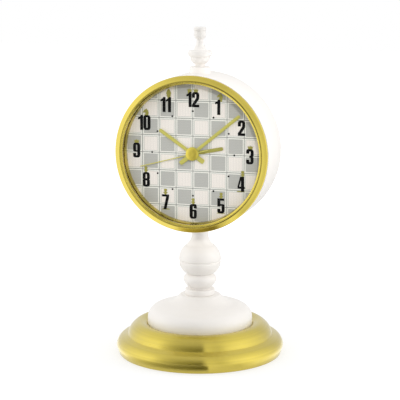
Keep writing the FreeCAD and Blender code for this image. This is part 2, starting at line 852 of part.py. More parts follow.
def train_wheels():
    """Centre, third, seconds and step wheels and the rotor."""
    third_place = along(third_angle, train_distance)
    centre_front = layer_y(centre_layer)
    third_front = layer_y(third_layer)
    seconds_front = layer_y(seconds_layer)
    step_front = layer_y(step_layer)
    rotor_front = layer_y(rotor_layer)
    bridge_front = layer_y(bridge_layer)
    middle_back = layer_y(middle_plate_layer) + middle_plate_t
    play = body_gap / 2
    pivot_back = bridge_front + bridge_t / 2
    pivot_front = middle_back - middle_plate_t / 2

    module = 2 * train_distance / (centre_teeth + third_pinion_teeth)
    wheel = toothed(centre_teeth, module, centre_front, centre_front + thin_wheel_t, (0, 0), third_angle)
    save("centre_wheel", wheel.cut(pin(minute_pipe_r + run_gap, centre_front, centre_front + thin_wheel_t)))
    pinion_front = centre_front - play
    pinion = toothed(third_pinion_teeth, module, pinion_front, pinion_front + pinion_t, third_place,
                     gap_at(third_pinion_teeth, 180 + third_angle))
    module = 2 * train_distance / (third_teeth + seconds_pinion_teeth)
    wheel = toothed(third_teeth, module, third_front, third_front + thin_wheel_t, third_place,
                    gap_at(third_teeth, 180 + third_angle))
    save("third_wheel", fused(pinion, wheel, *train_arbor(third_place, middle_back, bridge_front, pivot_front,
                                                         pivot_back)))

    second_hand_y = hand_y - 3 * hand_pitch
    pinion_back = seconds_front + play
    pinion = toothed(seconds_pinion_teeth, module, third_front - play, pinion_back, (0, 0), third_angle)
    module = 2 * train_distance / (seconds_teeth + step_pinion_teeth)
    wheel = toothed(seconds_teeth, module, seconds_front, seconds_front + thin_wheel_t, (0, 0), middle_angle)
    arbor = pin(second_arbor_r, second_hand_y - hand_t / 2, bridge_front - play)
    pivot = pin(pivot_r, bridge_front - play, pivot_back)
    save("seconds_wheel", fused(pinion, wheel, arbor, pivot))

    pinion = toothed(step_pinion_teeth, module, seconds_front - play, step_front, step_place(),
                     gap_at(step_pinion_teeth, 180 + middle_angle))
    module = 2 * rotor_distance / (step_teeth + rotor_pinion_teeth)
    wheel = toothed(step_teeth, module, step_front, step_front + thin_wheel_t, step_place(), rotor_angle)
    save("step_wheel", fused(pinion, wheel, *train_arbor(step_place(), middle_back, bridge_front, pivot_front,
                                                        pivot_back)))
    pinion = toothed(rotor_pinion_teeth, module, step_front - play, rotor_front, rotor_place(),
                     gap_at(rotor_pinion_teeth, 180 + rotor_angle))
    magnet = pin(magnet_r, rotor_front, rotor_front + magnet_t, rotor_place())
    save("rotor", fused(pinion, magnet, *train_arbor(rotor_place(), middle_back, bridge_front, pivot_front,
                                                    pivot_back)))


def train_arbor(place, front, back, pivot_front, pivot_back):
    """Thin arbor between the middle plate and the bridge, with a finer pivot at each end."""
    play = body_gap / 2
    arbor = pin(arbor_r, front + play, back - play, place)
    return arbor, pin(pivot_r, pivot_front, front + play, place), pin(pivot_r, back - play, pivot_back, place)


def plates_and_motor():
    """Middle plate, bridge, motor, circuit board and sounder."""
    inside = move_w / 2 - move_wall - static_gap
    middle_front = layer_y(middle_plate_layer)
    middle_back = middle_front + middle_plate_t
    bridge_front = layer_y(bridge_layer)
    bridge_back = bridge_front + bridge_t
    third_place = along(third_angle, train_distance)
    arbors = (third_place, step_place(), rotor_place())
    middle = block(-inside, inside, middle_front, middle_back, -inside, inside)
    middle = middle.cut(pin(minute_pipe_r + run_gap, middle_front, middle_back))
    for place in (set_place(), alarm_set_place()):
        middle = middle.cut(pin(set_arbor_r + run_gap, middle_front, middle_back, place))
    for notch in post_notches(middle_front, middle_back):
        middle = middle.cut(notch)
    for place in arbors:
        middle = middle.cut(pin(pivot_r + run_gap, middle_back - middle_plate_t / 2, middle_back, place))
    save("movement_middle_plate", middle)

    bridge = block(-bridge_w / 2, bridge_w / 2, bridge_front, bridge_back, bridge_low_z, bridge_top_z)
    pillars = []
    pillar_x = bridge_w / 2 - pillar_inset
    for x in (-pillar_x, pillar_x):
        for z in (pillar_low_z, bridge_top_z - pillar_top_gap):
            pillars.append(pin(pillar_r, middle_back, bridge_front, (x, z)))
    bridge = fused(bridge, *pillars)
    for place in arbors + ((0, 0),):
        bridge = bridge.cut(pin(pivot_r + run_gap, bridge_front, bridge_back, place))
    save("train_bridge", bridge)

    rotor_x, rotor_z = rotor_place()
    magnet_middle = layer_y(rotor_layer) + magnet_t / 2
    stator_front = magnet_middle - stator_t / 2
    stator_back = magnet_middle + stator_t / 2
    lobe_low = rotor_z - stator_lobe_low
    lobe_top = coil_z - stator_bar / 2
    right = rotor_x + stator_lobe
    left = right - stator_l
    bar_top = lobe_top + stator_bar
    stator = fused(
        block(rotor_x - stator_lobe, right, stator_front, stator_back, lobe_low, lobe_top),
        block(left, right, stator_front, stator_back, lobe_top, bar_top),
        block(left, left + stator_bar, stator_front, stator_back, lobe_low, bar_top),
        block(left, right, stator_front, stator_back, lobe_low, lobe_low + stator_bar),
    )
    save("stator", stator.cut(pin(magnet_r + 2 * body_gap, stator_front, stator_back, (rotor_x, rotor_z))))
    coil_x = left + stator_bar + body_gap
    coil = Part.makeCylinder(coil_r, coil_l, Vector(coil_x, magnet_middle, case_z + coil_z), Vector(1, 0, 0))
    bar = block(coil_x, coil_x + coil_l, stator_front - tight_gap, stator_back + tight_gap,
                lobe_top - tight_gap, bar_top + tight_gap)
    save("coil", coil.cut(bar))

    board_front = layer_y(board_layer)
    board_back = board_front + board_t
    board = block(-board_w / 2, board_w / 2, board_front, board_back, board_top_z - board_h, board_top_z)
    for notch in post_notches(board_front, board_back):
        board = board.cut(notch)
    chip_place = Vector(rotor_x, board_back, case_z + rotor_z)
    chip = Part.makeCone(chip_r, chip_r / 2, chip_h, chip_place, Vector(0, 1, 0))
    save("circuit_board", fused(board, chip))
    crystal_place = Vector(0, board_back + crystal_r, case_z + board_top_z - 2 * crystal_r)
    save("quartz_crystal", Part.makeCylinder(crystal_r, crystal_l, crystal_place, Vector(1, 0, 0)))
    sounder_back = back_y - move_face_t
    save("sounder", pin(sounder_r, sounder_back - sounder_t, sounder_back, (sounder_x, sounder_z)))


def knob(place):
    """Ribbed setting knob on the back of the clockwork."""
    front = back_y + body_gap
    shape = pin(knob_r, front, front + knob_h, place)
    for index in range(knob_rib_count):
        x, z = along(index * 360 / knob_rib_count, knob_r + knob_rib_depth)
        groove = pin(2 * knob_rib_depth, front, front + knob_h, (place[0] + x, place[1] + z))
        shape = shape.cut(groove)
    return shape.cut(pin(set_arbor_r + tight_gap, front, front + knob_h / 2, place))


def controls():
    """Setting knobs and the alarm's on-off slider."""
    save("time_set_knob", knob(set_place()))
    save("alarm_set_knob", knob(alarm_set_place()))
    wall_y = back_y - move_face_t
    rest_x = -switch_travel / 2
    button_front = back_y + body_gap
    flange_back = wall_y - body_gap
    pieces = []
    for width, height, front, back in (
        (switch_w, switch_h, button_front, button_front + switch_proud),
        (switch_stem_w, switch_stem_h, flange_back, button_front),
        (switch_flange_w - switch_travel, switch_flange_h, flange_back - switch_flange_t, flange_back),
    ):
        pieces.append(block(rest_x - width / 2, rest_x + width / 2, front, back,
                            switch_z - height / 2, switch_z + height / 2))
    save("alarm_switch", fused(*pieces))


def hand(length, tail, width, boss_r, bore_r, angle, back):
    """Straight hand with a round boss, pointing clockwise from 12."""
    front = back - hand_t
    half = width / 2
    corners = []
    for side, reach in ((-half, -tail), (half, -tail), (half, length), (-half, length)):
        right = along(angle + 90, side)
        out = along(angle, reach)
        corners.append((right[0] + out[0], right[1] + out[1]))
    shape = fused(plate(corners, front, back), pin(boss_r, front, back))
    return shape.cut(pin(bore_r + tight_gap, front, back))


def hands():
    """Alarm, hour, minute and second hands, from the dial outwards."""
    minute_y = hand_y - 2 * hand_pitch
    second_y = hand_y - 3 * hand_pitch
    save("alarm_hand", hand(alarm_hand_l, alarm_hand_tail, alarm_hand_w, alarm_boss_r, alarm_pipe_r,
                            alarm_hand_angle, hand_y))
    save("hour_hand", hand(hour_hand_l, hour_hand_tail, hour_hand_w, hour_boss_r, hour_pipe_r,
                           hour_hand_angle, hand_y - hand_pitch))
    save("minute_hand", hand(minute_hand_l, minute_hand_tail, minute_hand_w, minute_boss_r, minute_pipe_r,
                             minute_hand_angle, minute_y))
    blade = hand(second_hand_l, second_hand_tail, second_hand_w, second_boss_r, second_arbor_r,
                 second_hand_angle, second_y)
    cap_steps = scaled(second_cap_shares, second_boss_r, second_y - hand_t, -second_cap_h)
    cap = turned_case((0, second_y - hand_t), cap_steps)
    save("second_hand", fused(blade, cap))


os.makedirs("parts", exist_ok=True)
base_parts()
stem_parts()
case_parts()
finial_parts()
clockwork_case_parts()
motion_wheels()
train_wheels()
plates_and_motor()
controls()
hands()
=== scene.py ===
"""Finish of a pedestal alarm clock: brushed brass, satin paint, a printed dial and ridged hands.

Lengths are in metres. The dial faces -Y, and angles on it are clockwise from 12.
"""

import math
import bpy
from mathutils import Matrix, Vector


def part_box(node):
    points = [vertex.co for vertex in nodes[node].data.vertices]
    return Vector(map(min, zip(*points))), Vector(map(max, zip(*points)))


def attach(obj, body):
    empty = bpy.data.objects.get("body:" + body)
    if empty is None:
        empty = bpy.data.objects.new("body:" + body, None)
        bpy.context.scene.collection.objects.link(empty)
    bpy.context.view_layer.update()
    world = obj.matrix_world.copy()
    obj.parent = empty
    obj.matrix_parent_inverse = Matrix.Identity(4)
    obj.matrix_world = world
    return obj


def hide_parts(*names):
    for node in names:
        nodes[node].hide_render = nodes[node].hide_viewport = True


bl_info = {
    "name": "Pedestal Clock Finish",
    "version": (1, 0, 0),
    "blender": (4, 5, 0),
    "location": "View3D > Sidebar > Clock",
    "description": "Dresses the pedestal clock's frame in brass, paint, print and glass",
    "category": "Object",
}

import bmesh
import bpy
from bpy.props import FloatProperty, FloatVectorProperty, PointerProperty
from mathutils import Matrix, Vector

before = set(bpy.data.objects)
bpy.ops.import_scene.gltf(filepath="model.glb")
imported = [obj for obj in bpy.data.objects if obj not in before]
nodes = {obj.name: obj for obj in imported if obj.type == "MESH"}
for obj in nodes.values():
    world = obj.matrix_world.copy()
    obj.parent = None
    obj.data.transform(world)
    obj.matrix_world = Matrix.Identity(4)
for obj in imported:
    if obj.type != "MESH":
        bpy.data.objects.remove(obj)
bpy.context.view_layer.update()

MM = 0.001
ROOT = "clock"
DRUM_LOW, DRUM_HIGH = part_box("case_drum")
DIAL_Z = (DRUM_LOW[2] + DRUM_HIGH[2]) / 2
DIAL_FACE_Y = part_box("dial_plate")[0][1]
FULL_TURN = 2 * math.pi
TURN_STEPS = 160
SCREW_STEPS = 32
ARC_STEPS = 10
ON_AXIS = 1e-9
MERGE = 1e-7
FINE_MERGE = 1e-8
EDGE_BEVEL = 0.00025
BEZEL_BEVEL = 0.00012
RING_BEVEL = 0.0001
BOSS_BEVEL = 0.00004
# A corner's rounding takes less than half of each of its sides.
ROUNDING_SHARE = 0.499


def linear(red, green, blue):
    """Linear colour of a screen colour given in parts of 255."""
    def channel(value):
        share = value / 255
        return share / 12.92 if share <= 0.04045 else ((share + 0.055) / 1.055) ** 2.4
    return (channel(red), channel(green), channel(blue))


def color_property(name, description, screen):
    """Colour setting with its default given as a screen colour."""
    return FloatVectorProperty(name=name, description=description, subtype="COLOR", size=3, min=0, max=1,
                               default=linear(*screen))


def length_property(name, description, default):
    """Length setting in metres."""
    return FloatProperty(name=name, description=description, default=default, unit="LENGTH", precision=5)


class ClockMetalSettings(bpy.types.PropertyGroup):
    """Colours and brushing of the brass and the gilt pieces"""
    brass: color_property("Brass", "Satin brass of the base and the bezel", (208, 188, 74))
    gilt: color_property("Gilt", "Gold of the hands and the figures on the dial", (216, 209, 108))
    cap: color_property("Cap", "Bright gold of the cap over the hands' middle", (232, 212, 88))
    brush_pitch: length_property("Brush pitch", "Distance between brushing lines", 0.00045)
    roughness: FloatProperty(name="Roughness", description="Mean roughness of brushed brass", default=0.3,
                             min=0, max=1)


class ClockPaintSettings(bpy.types.PropertyGroup):
    """Colour and grain of the satin paint"""
    white: color_property("White", "Satin paint of the stem, dome and case", (247, 243, 238))
    grain: length_property("Grain", "Size of the paint's fine grain", 0.0007)


class ClockDialSettings(bpy.types.PropertyGroup):
    """Sizes and colours of the printed dial"""
    pitch: length_property("Square pitch", "Width of one chequer square with its share of the gap", 0.0132)
    fill: length_property("Fill width", "Width of a square's inner fill", 0.0104)
    edge_t: length_property("Edge width", "Width of the faint edge round a fill", 0.00022)
    line_t: length_property("Line width", "Width of the thin line between two squares", 0.00046)
    numeral_h: length_property("Numeral height", "Height of a numeral", 0.0114)
    numeral_w: length_property("Numeral width", "Width of a full digit", 0.0057)
    relief: length_property("Relief", "Height of the print over the dial", 0.00006)
    dot_ring: length_property("Dot ring", "Radius of the ring of hour dots", 0.032)
    dot_r: length_property("Dot radius", "Radius of an hour dot", 0.00075)
    grey: color_property("Grey fill", "Fill of the dark squares", (190, 190, 184))
    light: color_property("Light fill", "Fill of the light squares", (247, 241, 233))
    edge: color_property("Edge", "Faint edge round a fill", (172, 172, 165))
    gap: color_property("Gap", "Ground between the squares", (236, 236, 228))
    outline: color_property("Outline", "Thin lines between the squares", (134, 134, 128))
    ink: color_property("Ink", "Black of the numerals and dots", (10, 10, 10))


class ClockHandSettings(bpy.types.PropertyGroup):
    """Sections of the hands"""
    hour_w: length_property("Hour hand width", "Width of the hour hand", 0.0026)
    minute_w: length_property("Minute hand width", "Width of the minute hand", 0.0024)
    second_w: length_property("Second hand width", "Width of the second hand", 0.0007)
    alarm_w: length_property("Alarm hand width", "Width of the alarm hand", 0.0027)
    tail_share: FloatProperty(name="Tail share", description="Width of a hand's tail over the hand's width",
                              default=1.4, min=0)
    rim_share: FloatProperty(name="Rim share", description="Share of a hand's thickness at its long edges",
                             default=0.45, min=0, max=1)


class ClockStageSettings(bpy.types.PropertyGroup):
    """Camera, lamps and backdrop"""
    lens: FloatProperty(name="Lens", description="Focal length for a 36 mm sensor", default=129.35, min=1)
    right_power: FloatProperty(name="Right power", description="Power of the right soft light in watts",
                               default=4.6, min=0)
    left_power: FloatProperty(name="Left power", description="Power of the left soft light in watts",
                              default=4.2, min=0)
    dial_power: FloatProperty(name="Dial power", description="Power of the dial's narrow spot in watts",
                              default=25.0, min=0)
    lamp_size: length_property("Lamp size", "Width of a soft light", 0.75)
    world: FloatProperty(name="World", description="Strength of the even light all round", default=0.86, min=0)


SETTINGS = {
    "clock_metal": ClockMetalSettings,
    "clock_paint": ClockPaintSettings,
    "clock_dial": ClockDialSettings,
    "clock_hands": ClockHandSettings,
    "clock_stage": ClockStageSettings,
}


class Wire:
    """A node's output, with arithmetic that adds Math nodes."""

    def __init__(self, tree, socket):
        self.tree = tree
        self.socket = socket

    def math(self, operation, *values):
        return self.tree.node("ShaderNodeMath", {"operation": operation}, dict(enumerate(values)))

    def __add__(self, other):
        return self.math("ADD", self, other)

    def __radd__(self, other):
        return self.math("ADD", other, self)

    def __sub__(self, other):
        return self.math("SUBTRACT", self, other)

    def __rsub__(self, other):
        return self.math("SUBTRACT", other, self)

    def __mul__(self, other):
        return self.math("MULTIPLY", self, other)

    def __rmul__(self, other):
        return self.math("MULTIPLY", other, self)

    def __truediv__(self, other):
        return self.math("DIVIDE", self, other)

    def __lt__(self, other):
        return self.math("LESS_THAN", self, other)

    def __gt__(self, other):
        return self.math("GREATER_THAN", self, other)

    def __mod__(self, other):
        return self.math("FLOORED_MODULO", self, other)

    def __pow__(self, other):
        return self.math("POWER", self, other)

    def __abs__(self):
        return self.math("ABSOLUTE", self)

    def floor(self):
        return self.math("FLOOR", self)

    def root(self):
        return self.math("SQRT", self)

    def larger(self, other):
        return self.math("MAXIMUM", self, other)

    def turn_from(self, other):
        """Angle of the direction (other, self)."""
        return self.math("ARCTAN2", self, other)

    def wave(self, length):
        """Sine wave of a length, between 0 and 1."""
        return self.math("SINE", self * (FULL_TURN / length)) * 0.5 + 0.5


class ShaderTree:
    """A node tree whose nodes are written as expressions."""

    def __init__(self, tree):
        self.tree = tree

    def node(self, kind, settings=None, inputs=None, output=0):
        """Adds a node: its settings first, then its sockets' values or links."""
        made = self.tree.nodes.new(kind)
        for key, value in (settings or {}).items():
            setattr(made, key, value)
        for key, value in (inputs or {}).items():
            self.put(made.inputs[key], value)
        return Wire(self, made.outputs[output])

    def put(self, socket, value):
        """Links a wire to a socket, or sets the socket's own value."""
        if isinstance(value, Wire):
            self.tree.links.new(value.socket, socket)
        elif socket.type == "RGBA" and len(value) == 3:
            socket.default_value = (*value, 1.0)
        else:
            socket.default_value = value

    def seen(self):
        """1 for camera, glossy and transmission rays, and 0 for rays that only carry light."""
        mask = self.node("ShaderNodeLightPath", output="Is Camera Ray")
        outputs = mask.socket.node.outputs
        for name in ("Is Glossy Ray", "Is Transmission Ray"):
            mask = mask.larger(Wire(self, outputs[name]))
        return mask


class Finish(ShaderTree):
    """One material with a Principled shader."""

    def __init__(self, name):
        self.material = bpy.data.materials.new(name)
        self.material.use_nodes = True
        super().__init__(self.material.node_tree)
        self.shader = self.tree.nodes["Principled BSDF"]

    def set(self, **values):
        """Sets the shader's sockets by name, with spaces written as underscores."""
        for key, value in values.items():
            self.put(self.shader.inputs[key.replace("_", " ")], value)
        return self

    def glow(self, color, strength):
        """Puts a plain light of a colour in the shader's place."""
        light = self.node("ShaderNodeEmission", inputs={"Color": color, "Strength": strength})
        self.put(self.tree.nodes["Material Output"].inputs["Surface"], light)
        self.tree.nodes.remove(self.shader)
        return self.material

    def place(self):
        """Object coordinates as a vector."""
        return self.node("ShaderNodeTexCoord", output="Object")

    def axes(self):
        """The x, y and z of the Object coordinates."""
        parts = self.node("ShaderNodeSeparateXYZ", inputs={0: self.place()})
        outputs = parts.socket.node.outputs
        return [Wire(self, outputs[index]) for index in range(3)]

    def vector(self, x, y, z):
        """A vector from three values."""
        return self.node("ShaderNodeCombineXYZ", inputs={0: x, 1: y, 2: z})

    def noise(self, vector, scale, detail=2.0):
        """Noise between 0 and 1, with its scale in features per metre."""
        return self.node("ShaderNodeTexNoise", inputs={"Vector": vector, "Scale": scale, "Detail": detail})

    def rise(self, value, low, high):
        """0 below the low value and 1 above the high one."""
        return self.node("ShaderNodeMapRange", inputs={"Value": value, "From Min": low, "From Max": high})

    def mix(self, factor, low, high):
        """Colour between two colours, by the Mix node's colour sockets."""
        return self.node("ShaderNodeMix", {"data_type": "RGBA"}, {0: factor, 6: low, 7: high}, output=2)

    def bump(self, height, distance):
        """Feeds a height, with the distance in metres that 1 stands for, to the shader's normal."""
        return self.set(Normal=self.node("ShaderNodeBump", inputs={"Height": height, "Distance": distance}))


def grey(level):
    """A neutral colour of one level."""
    return (level, level, level)


def shade(color, share):
    """A colour made darker or lighter by a share."""
    return tuple(min(1.0, channel * share) for channel in color)


def brushed_brass(name, color, pitch, roughness, about_z):
    """Lacquered satin brass, turned on a lathe, with fine lines and broader bands round the axis."""
    band_pitches, cloud_scale, line_depth = 3.5, 38.0, 0.000012
    dark, bright = shade(color, 0.74), shade(color, 1.18)
    finish = Finish(name)
    x, y, z = finish.axes()
    height = y if about_z else z - DIAL_Z
    radius = (x * x + height * height).root()
    section = finish.vector(radius, z if about_z else y, 0.0)
    lines = finish.noise(section, 1 / pitch, 3.0)
    bands = finish.noise(section, 1 / (pitch * band_pitches))
    cloud = finish.noise(finish.place(), cloud_scale, 3.0)
    tone = lines * 0.25 + bands * 0.55 + cloud * 0.2
    finish.set(Base_Color=finish.mix(tone, dark, bright), Metallic=1.0,
               Roughness=roughness + (lines - 0.5) * 0.12 + (cloud - 0.5) * 0.06,
               Anisotropic=1.0 if about_z else 0.0, Anisotropic_Rotation=0.25,
               Coat_Weight=0.6, Coat_Roughness=0.2, Coat_IOR=1.6)
    return finish.bump(lines, line_depth).material


def grained(name, dark, bright, scale, depth, roughness, spread, detail=3.0, cloud_scale=None, **values):
    """Surface with an even grain, clouded between two colours by a broader noise or by the grain itself."""
    finish = Finish(name)
    grain = finish.noise(finish.place(), scale, detail)
    cloud = finish.noise(finish.place(), cloud_scale) if cloud_scale else grain
    finish.set(Base_Color=finish.mix(cloud, dark, bright),
               Roughness=roughness + grain * spread if spread else roughness, **values)
    return finish.bump(grain, depth).material


def gilt_metal(name, color, roughness, metallic=1.0):
    """Thin gold plate, or gold lacquer when less metallic, with a faint grain."""
    return grained(name, shade(color, 0.9), shade(color, 1.1), scale=1400.0, depth=0.000006,
                   roughness=roughness - 0.05, spread=0.1, cloud_scale=160.0, Metallic=metallic)


def satin_paint(name, color, grain_size):
    """Sprayed satin paint with an even fine grain and a soft sheen."""
    return grained(name, shade(color, 0.985), color, scale=1 / grain_size, depth=0.000016, roughness=0.4,
                   spread=0.1, detail=2.0, cloud_scale=26.0, Coat_Weight=0.3, Coat_Roughness=0.2)


def dull_surface(name, screen, roughness=0.45, grain_size=0.0004, depth=0.00002):
    """Moulded plastic or dull cast metal."""
    color = linear(*screen)
    return grained(name, shade(color, 0.94), shade(color, 1.04), scale=1 / grain_size, depth=depth,
                   roughness=roughness, spread=0.12, cloud_scale=60.0)


def plated_steel(name):
    """Plated steel of screws, rods and nuts."""
    color = linear(196, 197, 198)
    return grained(name, shade(color, 0.85), shade(color, 1.05), scale=900.0, depth=0.000008, roughness=0.28,
                   spread=0.12, Metallic=1.0)


def printed_ink(name, color):
    """Dull ink with a fine tooth."""
    return grained(name, color, shade(color, 1.6), scale=1800.0, depth=0.000006, roughness=0.5, spread=0.1,
                   detail=2.0, Specular_IOR_Level=0.15)


def felt(name):
    """Dark wool felt."""
    return grained(name, linear(40, 44, 42), linear(78, 82, 78), scale=1500.0, depth=0.0002, roughness=0.95,
                   spread=0, detail=5.0)


def clear_lens(name):
    """Thin clear lens that only adds a faint gloss, and shows more of itself at a slant."""
    dust_scale, face_alpha, rim_alpha, rim_power = 30.0, 0.012, 0.3, 3.0
    finish = Finish(name)
    dust = finish.noise(finish.place(), dust_scale)
    slant = finish.node("ShaderNodeLayerWeight", inputs={"Blend": 0.5}, output="Facing")
    finish.set(Base_Color=linear(24, 26, 27), Roughness=0.02 + dust * 0.02, IOR=1.45,
               Alpha=slant ** rim_power * rim_alpha + face_alpha)
    return finish.material


def chequered_print(name, dial):
    """Printed squares: striped grey and light fills with a faint edge, on a pale ground with thin lines."""
    stripes, tooth_scale, print_depth = 11, 2600.0, 0.00001
    finish = Finish(name)
    x, _, z = finish.axes()
    column = x / dial.pitch
    row = (z - DIAL_Z) / dial.pitch
    odd = (column.floor() + row.floor()) % 2.0
    across = abs(column - column.floor() - 0.5) * dial.pitch
    up = abs(row - row.floor() - 0.5) * dial.pitch
    reach = across.larger(up)
    inside = reach < dial.fill / 2
    on_edge = reach < dial.fill / 2 + dial.edge_t
    on_line = reach > (dial.pitch - dial.line_t) / 2
    light = finish.mix(x.wave(dial.pitch / stripes), dial.light, shade(dial.light, 0.88))
    dark = finish.mix(z.wave(dial.pitch / stripes), dial.grey, shade(dial.grey, 0.92))
    ground = finish.mix(on_line, finish.mix(on_edge, dial.gap, dial.edge), dial.outline)
    tooth = finish.noise(finish.place(), tooth_scale)
    finish.set(Base_Color=finish.mix(inside, ground, finish.mix(odd, dark, light)), Roughness=0.5 + tooth * 0.1)
    return finish.bump(inside * 0.6 + tooth * 0.2, print_depth).material


def wound_wire(name):
    """Enamelled copper wire wound along X."""
    wire_pitch, wire_depth = 0.00025, 0.00008
    finish = Finish(name)
    turns = finish.axes()[0].wave(wire_pitch)
    finish.set(Base_Color=finish.mix(turns, linear(120, 52, 24), linear(206, 118, 66)), Metallic=0.8,
               Roughness=0.3 + turns * 0.1)
    return finish.bump(turns, wire_depth).material


def dress(material, *names):
    """Gives frame pieces their material."""
    for name in names:
        piece = nodes[name]
        piece.data.materials.clear()
        piece.data.materials.append(material)


def arc(start, middle, end):
    """Points after the start of an arc through three points."""
    ax, ay = start
    bx, by = middle
    cx, cy = end
    cross = 2 * (ax * (by - cy) + bx * (cy - ay) + cx * (ay - by))
    a2, b2, c2 = ax * ax + ay * ay, bx * bx + by * by, cx * cx + cy * cy
    mx = (a2 * (by - cy) + b2 * (cy - ay) + c2 * (ay - by)) / cross
    my = (a2 * (cx - bx) + b2 * (ax - cx) + c2 * (bx - ax)) / cross
    radius = math.hypot(ax - mx, ay - my)
    first = math.atan2(ay - my, ax - mx)
    via = (math.atan2(by - my, bx - mx) - first) % FULL_TURN
    last = (math.atan2(cy - my, cx - mx) - first) % FULL_TURN
    sweep = last if via < last else last - FULL_TURN
    angles = [first + sweep * step / ARC_STEPS for step in range(1, ARC_STEPS + 1)]
    return [(mx + radius * math.cos(angle), my + radius * math.sin(angle)) for angle in angles]


def traced(shares, width, low, height, inner=0.0):
    """Outline points from shares of a width and a height: a pair of pairs is an arc's middle and end."""
    def real(pair):
        return inner + pair[0] * width, low + pair[1] * height
    points = [real(shares[0])]
    for step in shares[1:]:
        if isinstance(step[0], tuple):
            points += arc(points[-1], real(step[0]), real(step[1]))
        else:
            points.append(real(step))
    return points


def linked(name, data):
    """New object in the scene."""
    item = bpy.data.objects.new(name, data)
    bpy.context.scene.collection.objects.link(item)
    return item


def meshed(name, work):
    """New mesh from a bmesh, which it frees."""
    mesh = bpy.data.meshes.new(name)
    work.to_mesh(mesh)
    work.free()
    return mesh


def add_piece(name, mesh, material, body=ROOT, replaced=()):
    """Links a finished mesh, gives it its material and body, and hides the nodes it replaces."""
    piece = linked(name, mesh)
    mesh.materials.clear()
    mesh.materials.append(material)
    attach(piece, body)
    if replaced:
        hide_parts(*replaced)
    return piece


def soften(mesh, width, sharp=0.6):
    """Bevels the edges that bend more than an angle in radians, and shades the rest smooth."""
    work = bmesh.new()
    work.from_mesh(mesh)
    bmesh.ops.remove_doubles(work, verts=work.verts, dist=MERGE)
    edges = [edge for edge in work.edges if len(edge.link_faces) == 2 and edge.calc_face_angle(0) > sharp]
    if width:
        bmesh.ops.bevel(work, geom=edges, offset=width, segments=2, profile=0.5, affect="EDGES",
                        clamp_overlap=True)
    for face in work.faces:
        face.smooth = True
    for edge in work.edges:
        edge.smooth = len(edge.link_faces) != 2 or edge.calc_face_angle(0) < sharp
    work.to_mesh(mesh)
    work.free()


def revolved(name, outline, steps, place, merge):
    """Closed mesh of revolution: place gives the point of a radius and a level at an angle."""
    work = bmesh.new()
    rings = []
    for step in range(steps):
        angle = FULL_TURN * step / steps
        rings.append([work.verts.new(place(radius, level, angle)) for radius, level in outline])
    for step, ring in enumerate(rings):
        after = rings[(step + 1) % steps]
        for index, (radius, _) in enumerate(outline):
            following = (index + 1) % len(outline)
            if radius > ON_AXIS or outline[following][0] > ON_AXIS:
                work.faces.new((ring[index], after[index], after[following], ring[following]))
    bmesh.ops.remove_doubles(work, verts=work.verts, dist=merge)
    bmesh.ops.dissolve_degenerate(work, edges=work.edges, dist=FINE_MERGE)
    bmesh.ops.recalc_face_normals(work, faces=work.faces)
    return meshed(name, work)


def about_stand(radius, level, angle):
    """Point of a piece turned about the stand's axis."""
    return (radius * math.sin(angle), -radius * math.cos(angle), level)


def about_dial(radius, depth, angle):
    """Point of a piece turned about the dial's axis."""
    return (radius * math.sin(angle), depth, DIAL_Z + radius * math.cos(angle))


def turned_mesh(name, outline, place=about_stand, bevel=EDGE_BEVEL):
    """Turned piece from a closed outline of (radius, height or depth), with its sharp edges eased."""
    mesh = revolved(name, outline, TURN_STEPS, place, MERGE)
    soften(mesh, bevel)
    return mesh


def radius_and_levels(node):
    """Radius, lowest and highest level of a turned node about the stand's axis."""
    low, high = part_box(node)
    return (high[0] - low[0]) / 2, low[2], high[2]


# Outlines in shares of a piece's radius and height. A pair of pairs is an arc's middle and end.
BASE_RING_SHARES = (
    (0.94, 0.0), (0.969, 0.0), (1.0, 0.253), ((0.988, 0.38), (0.932, 0.53)), (0.867, 0.592),
    ((0.818, 0.85), (0.748, 0.985)), ((0.7, 1.0), (0.645, 0.962)), (0.631, 0.93), (0.6, 0.905), (0.59, 0.83),
    (0.71, 0.83), (0.8, 0.55), (0.87, 0.4), (0.94, 0.3),
)
DOME_SHARES = (
    (0.0, 0.0), (1.0, 0.0), (1.0, 0.2), ((0.962, 0.44), (0.848, 0.606)), ((0.755, 0.665), (0.66, 0.7)),
    ((0.505, 0.81), (0.385, 0.985)), (0.375, 1.0), (0.0, 1.0),
)
COLLAR_SHARES = (
    (0.0, 0.0), (0.965, 0.0), (0.965, 0.09), (1.0, 0.09), (1.0, 0.84), ((0.982, 0.955), (0.939, 1.0)), (0.0, 1.0),
)
BEAD_SHARES = (
    (0.0, 0.0), (0.614, 0.0), (0.614, 0.08), ((0.86, 0.3), (0.992, 0.56)), ((0.998, 0.71), (0.945, 0.83)),
    (0.775, 1.0), (0.0, 1.0),
)
BULB_SHARES = (
    (0.0, 0.0), (0.61, 0.0), ((0.875, 0.17), (0.985, 0.435)), (0.95, 0.45), (0.95, 0.478), (1.0, 0.495),
    ((0.935, 0.745), (0.7, 1.0)), (0.0, 1.0),
)
NECK_SHARES = ((0.0, 0.0), (1.0, 0.0), ((0.741, 0.205), (0.582, 0.54)), (0.582, 1.0), (0.0, 1.0))
FINIAL_SHARES = (
    (0.0, 0.0), (0.41, 0.0), (0.41, 0.065), ((0.72, 0.14), (0.817, 0.263)), (0.94, 0.263),
    ((1.0, 0.335), (0.94, 0.41)), (0.58, 0.425), ((0.37, 0.53), (0.258, 0.684)), (0.42, 0.735),
    ((0.475, 0.785), (0.47, 0.85)), (0.452, 0.905), (0.5, 0.915), ((0.505, 0.96), (0.42, 1.0)), (0.0, 1.0),
)
BEZEL_ROUGHNESS_SHARE = 0.7
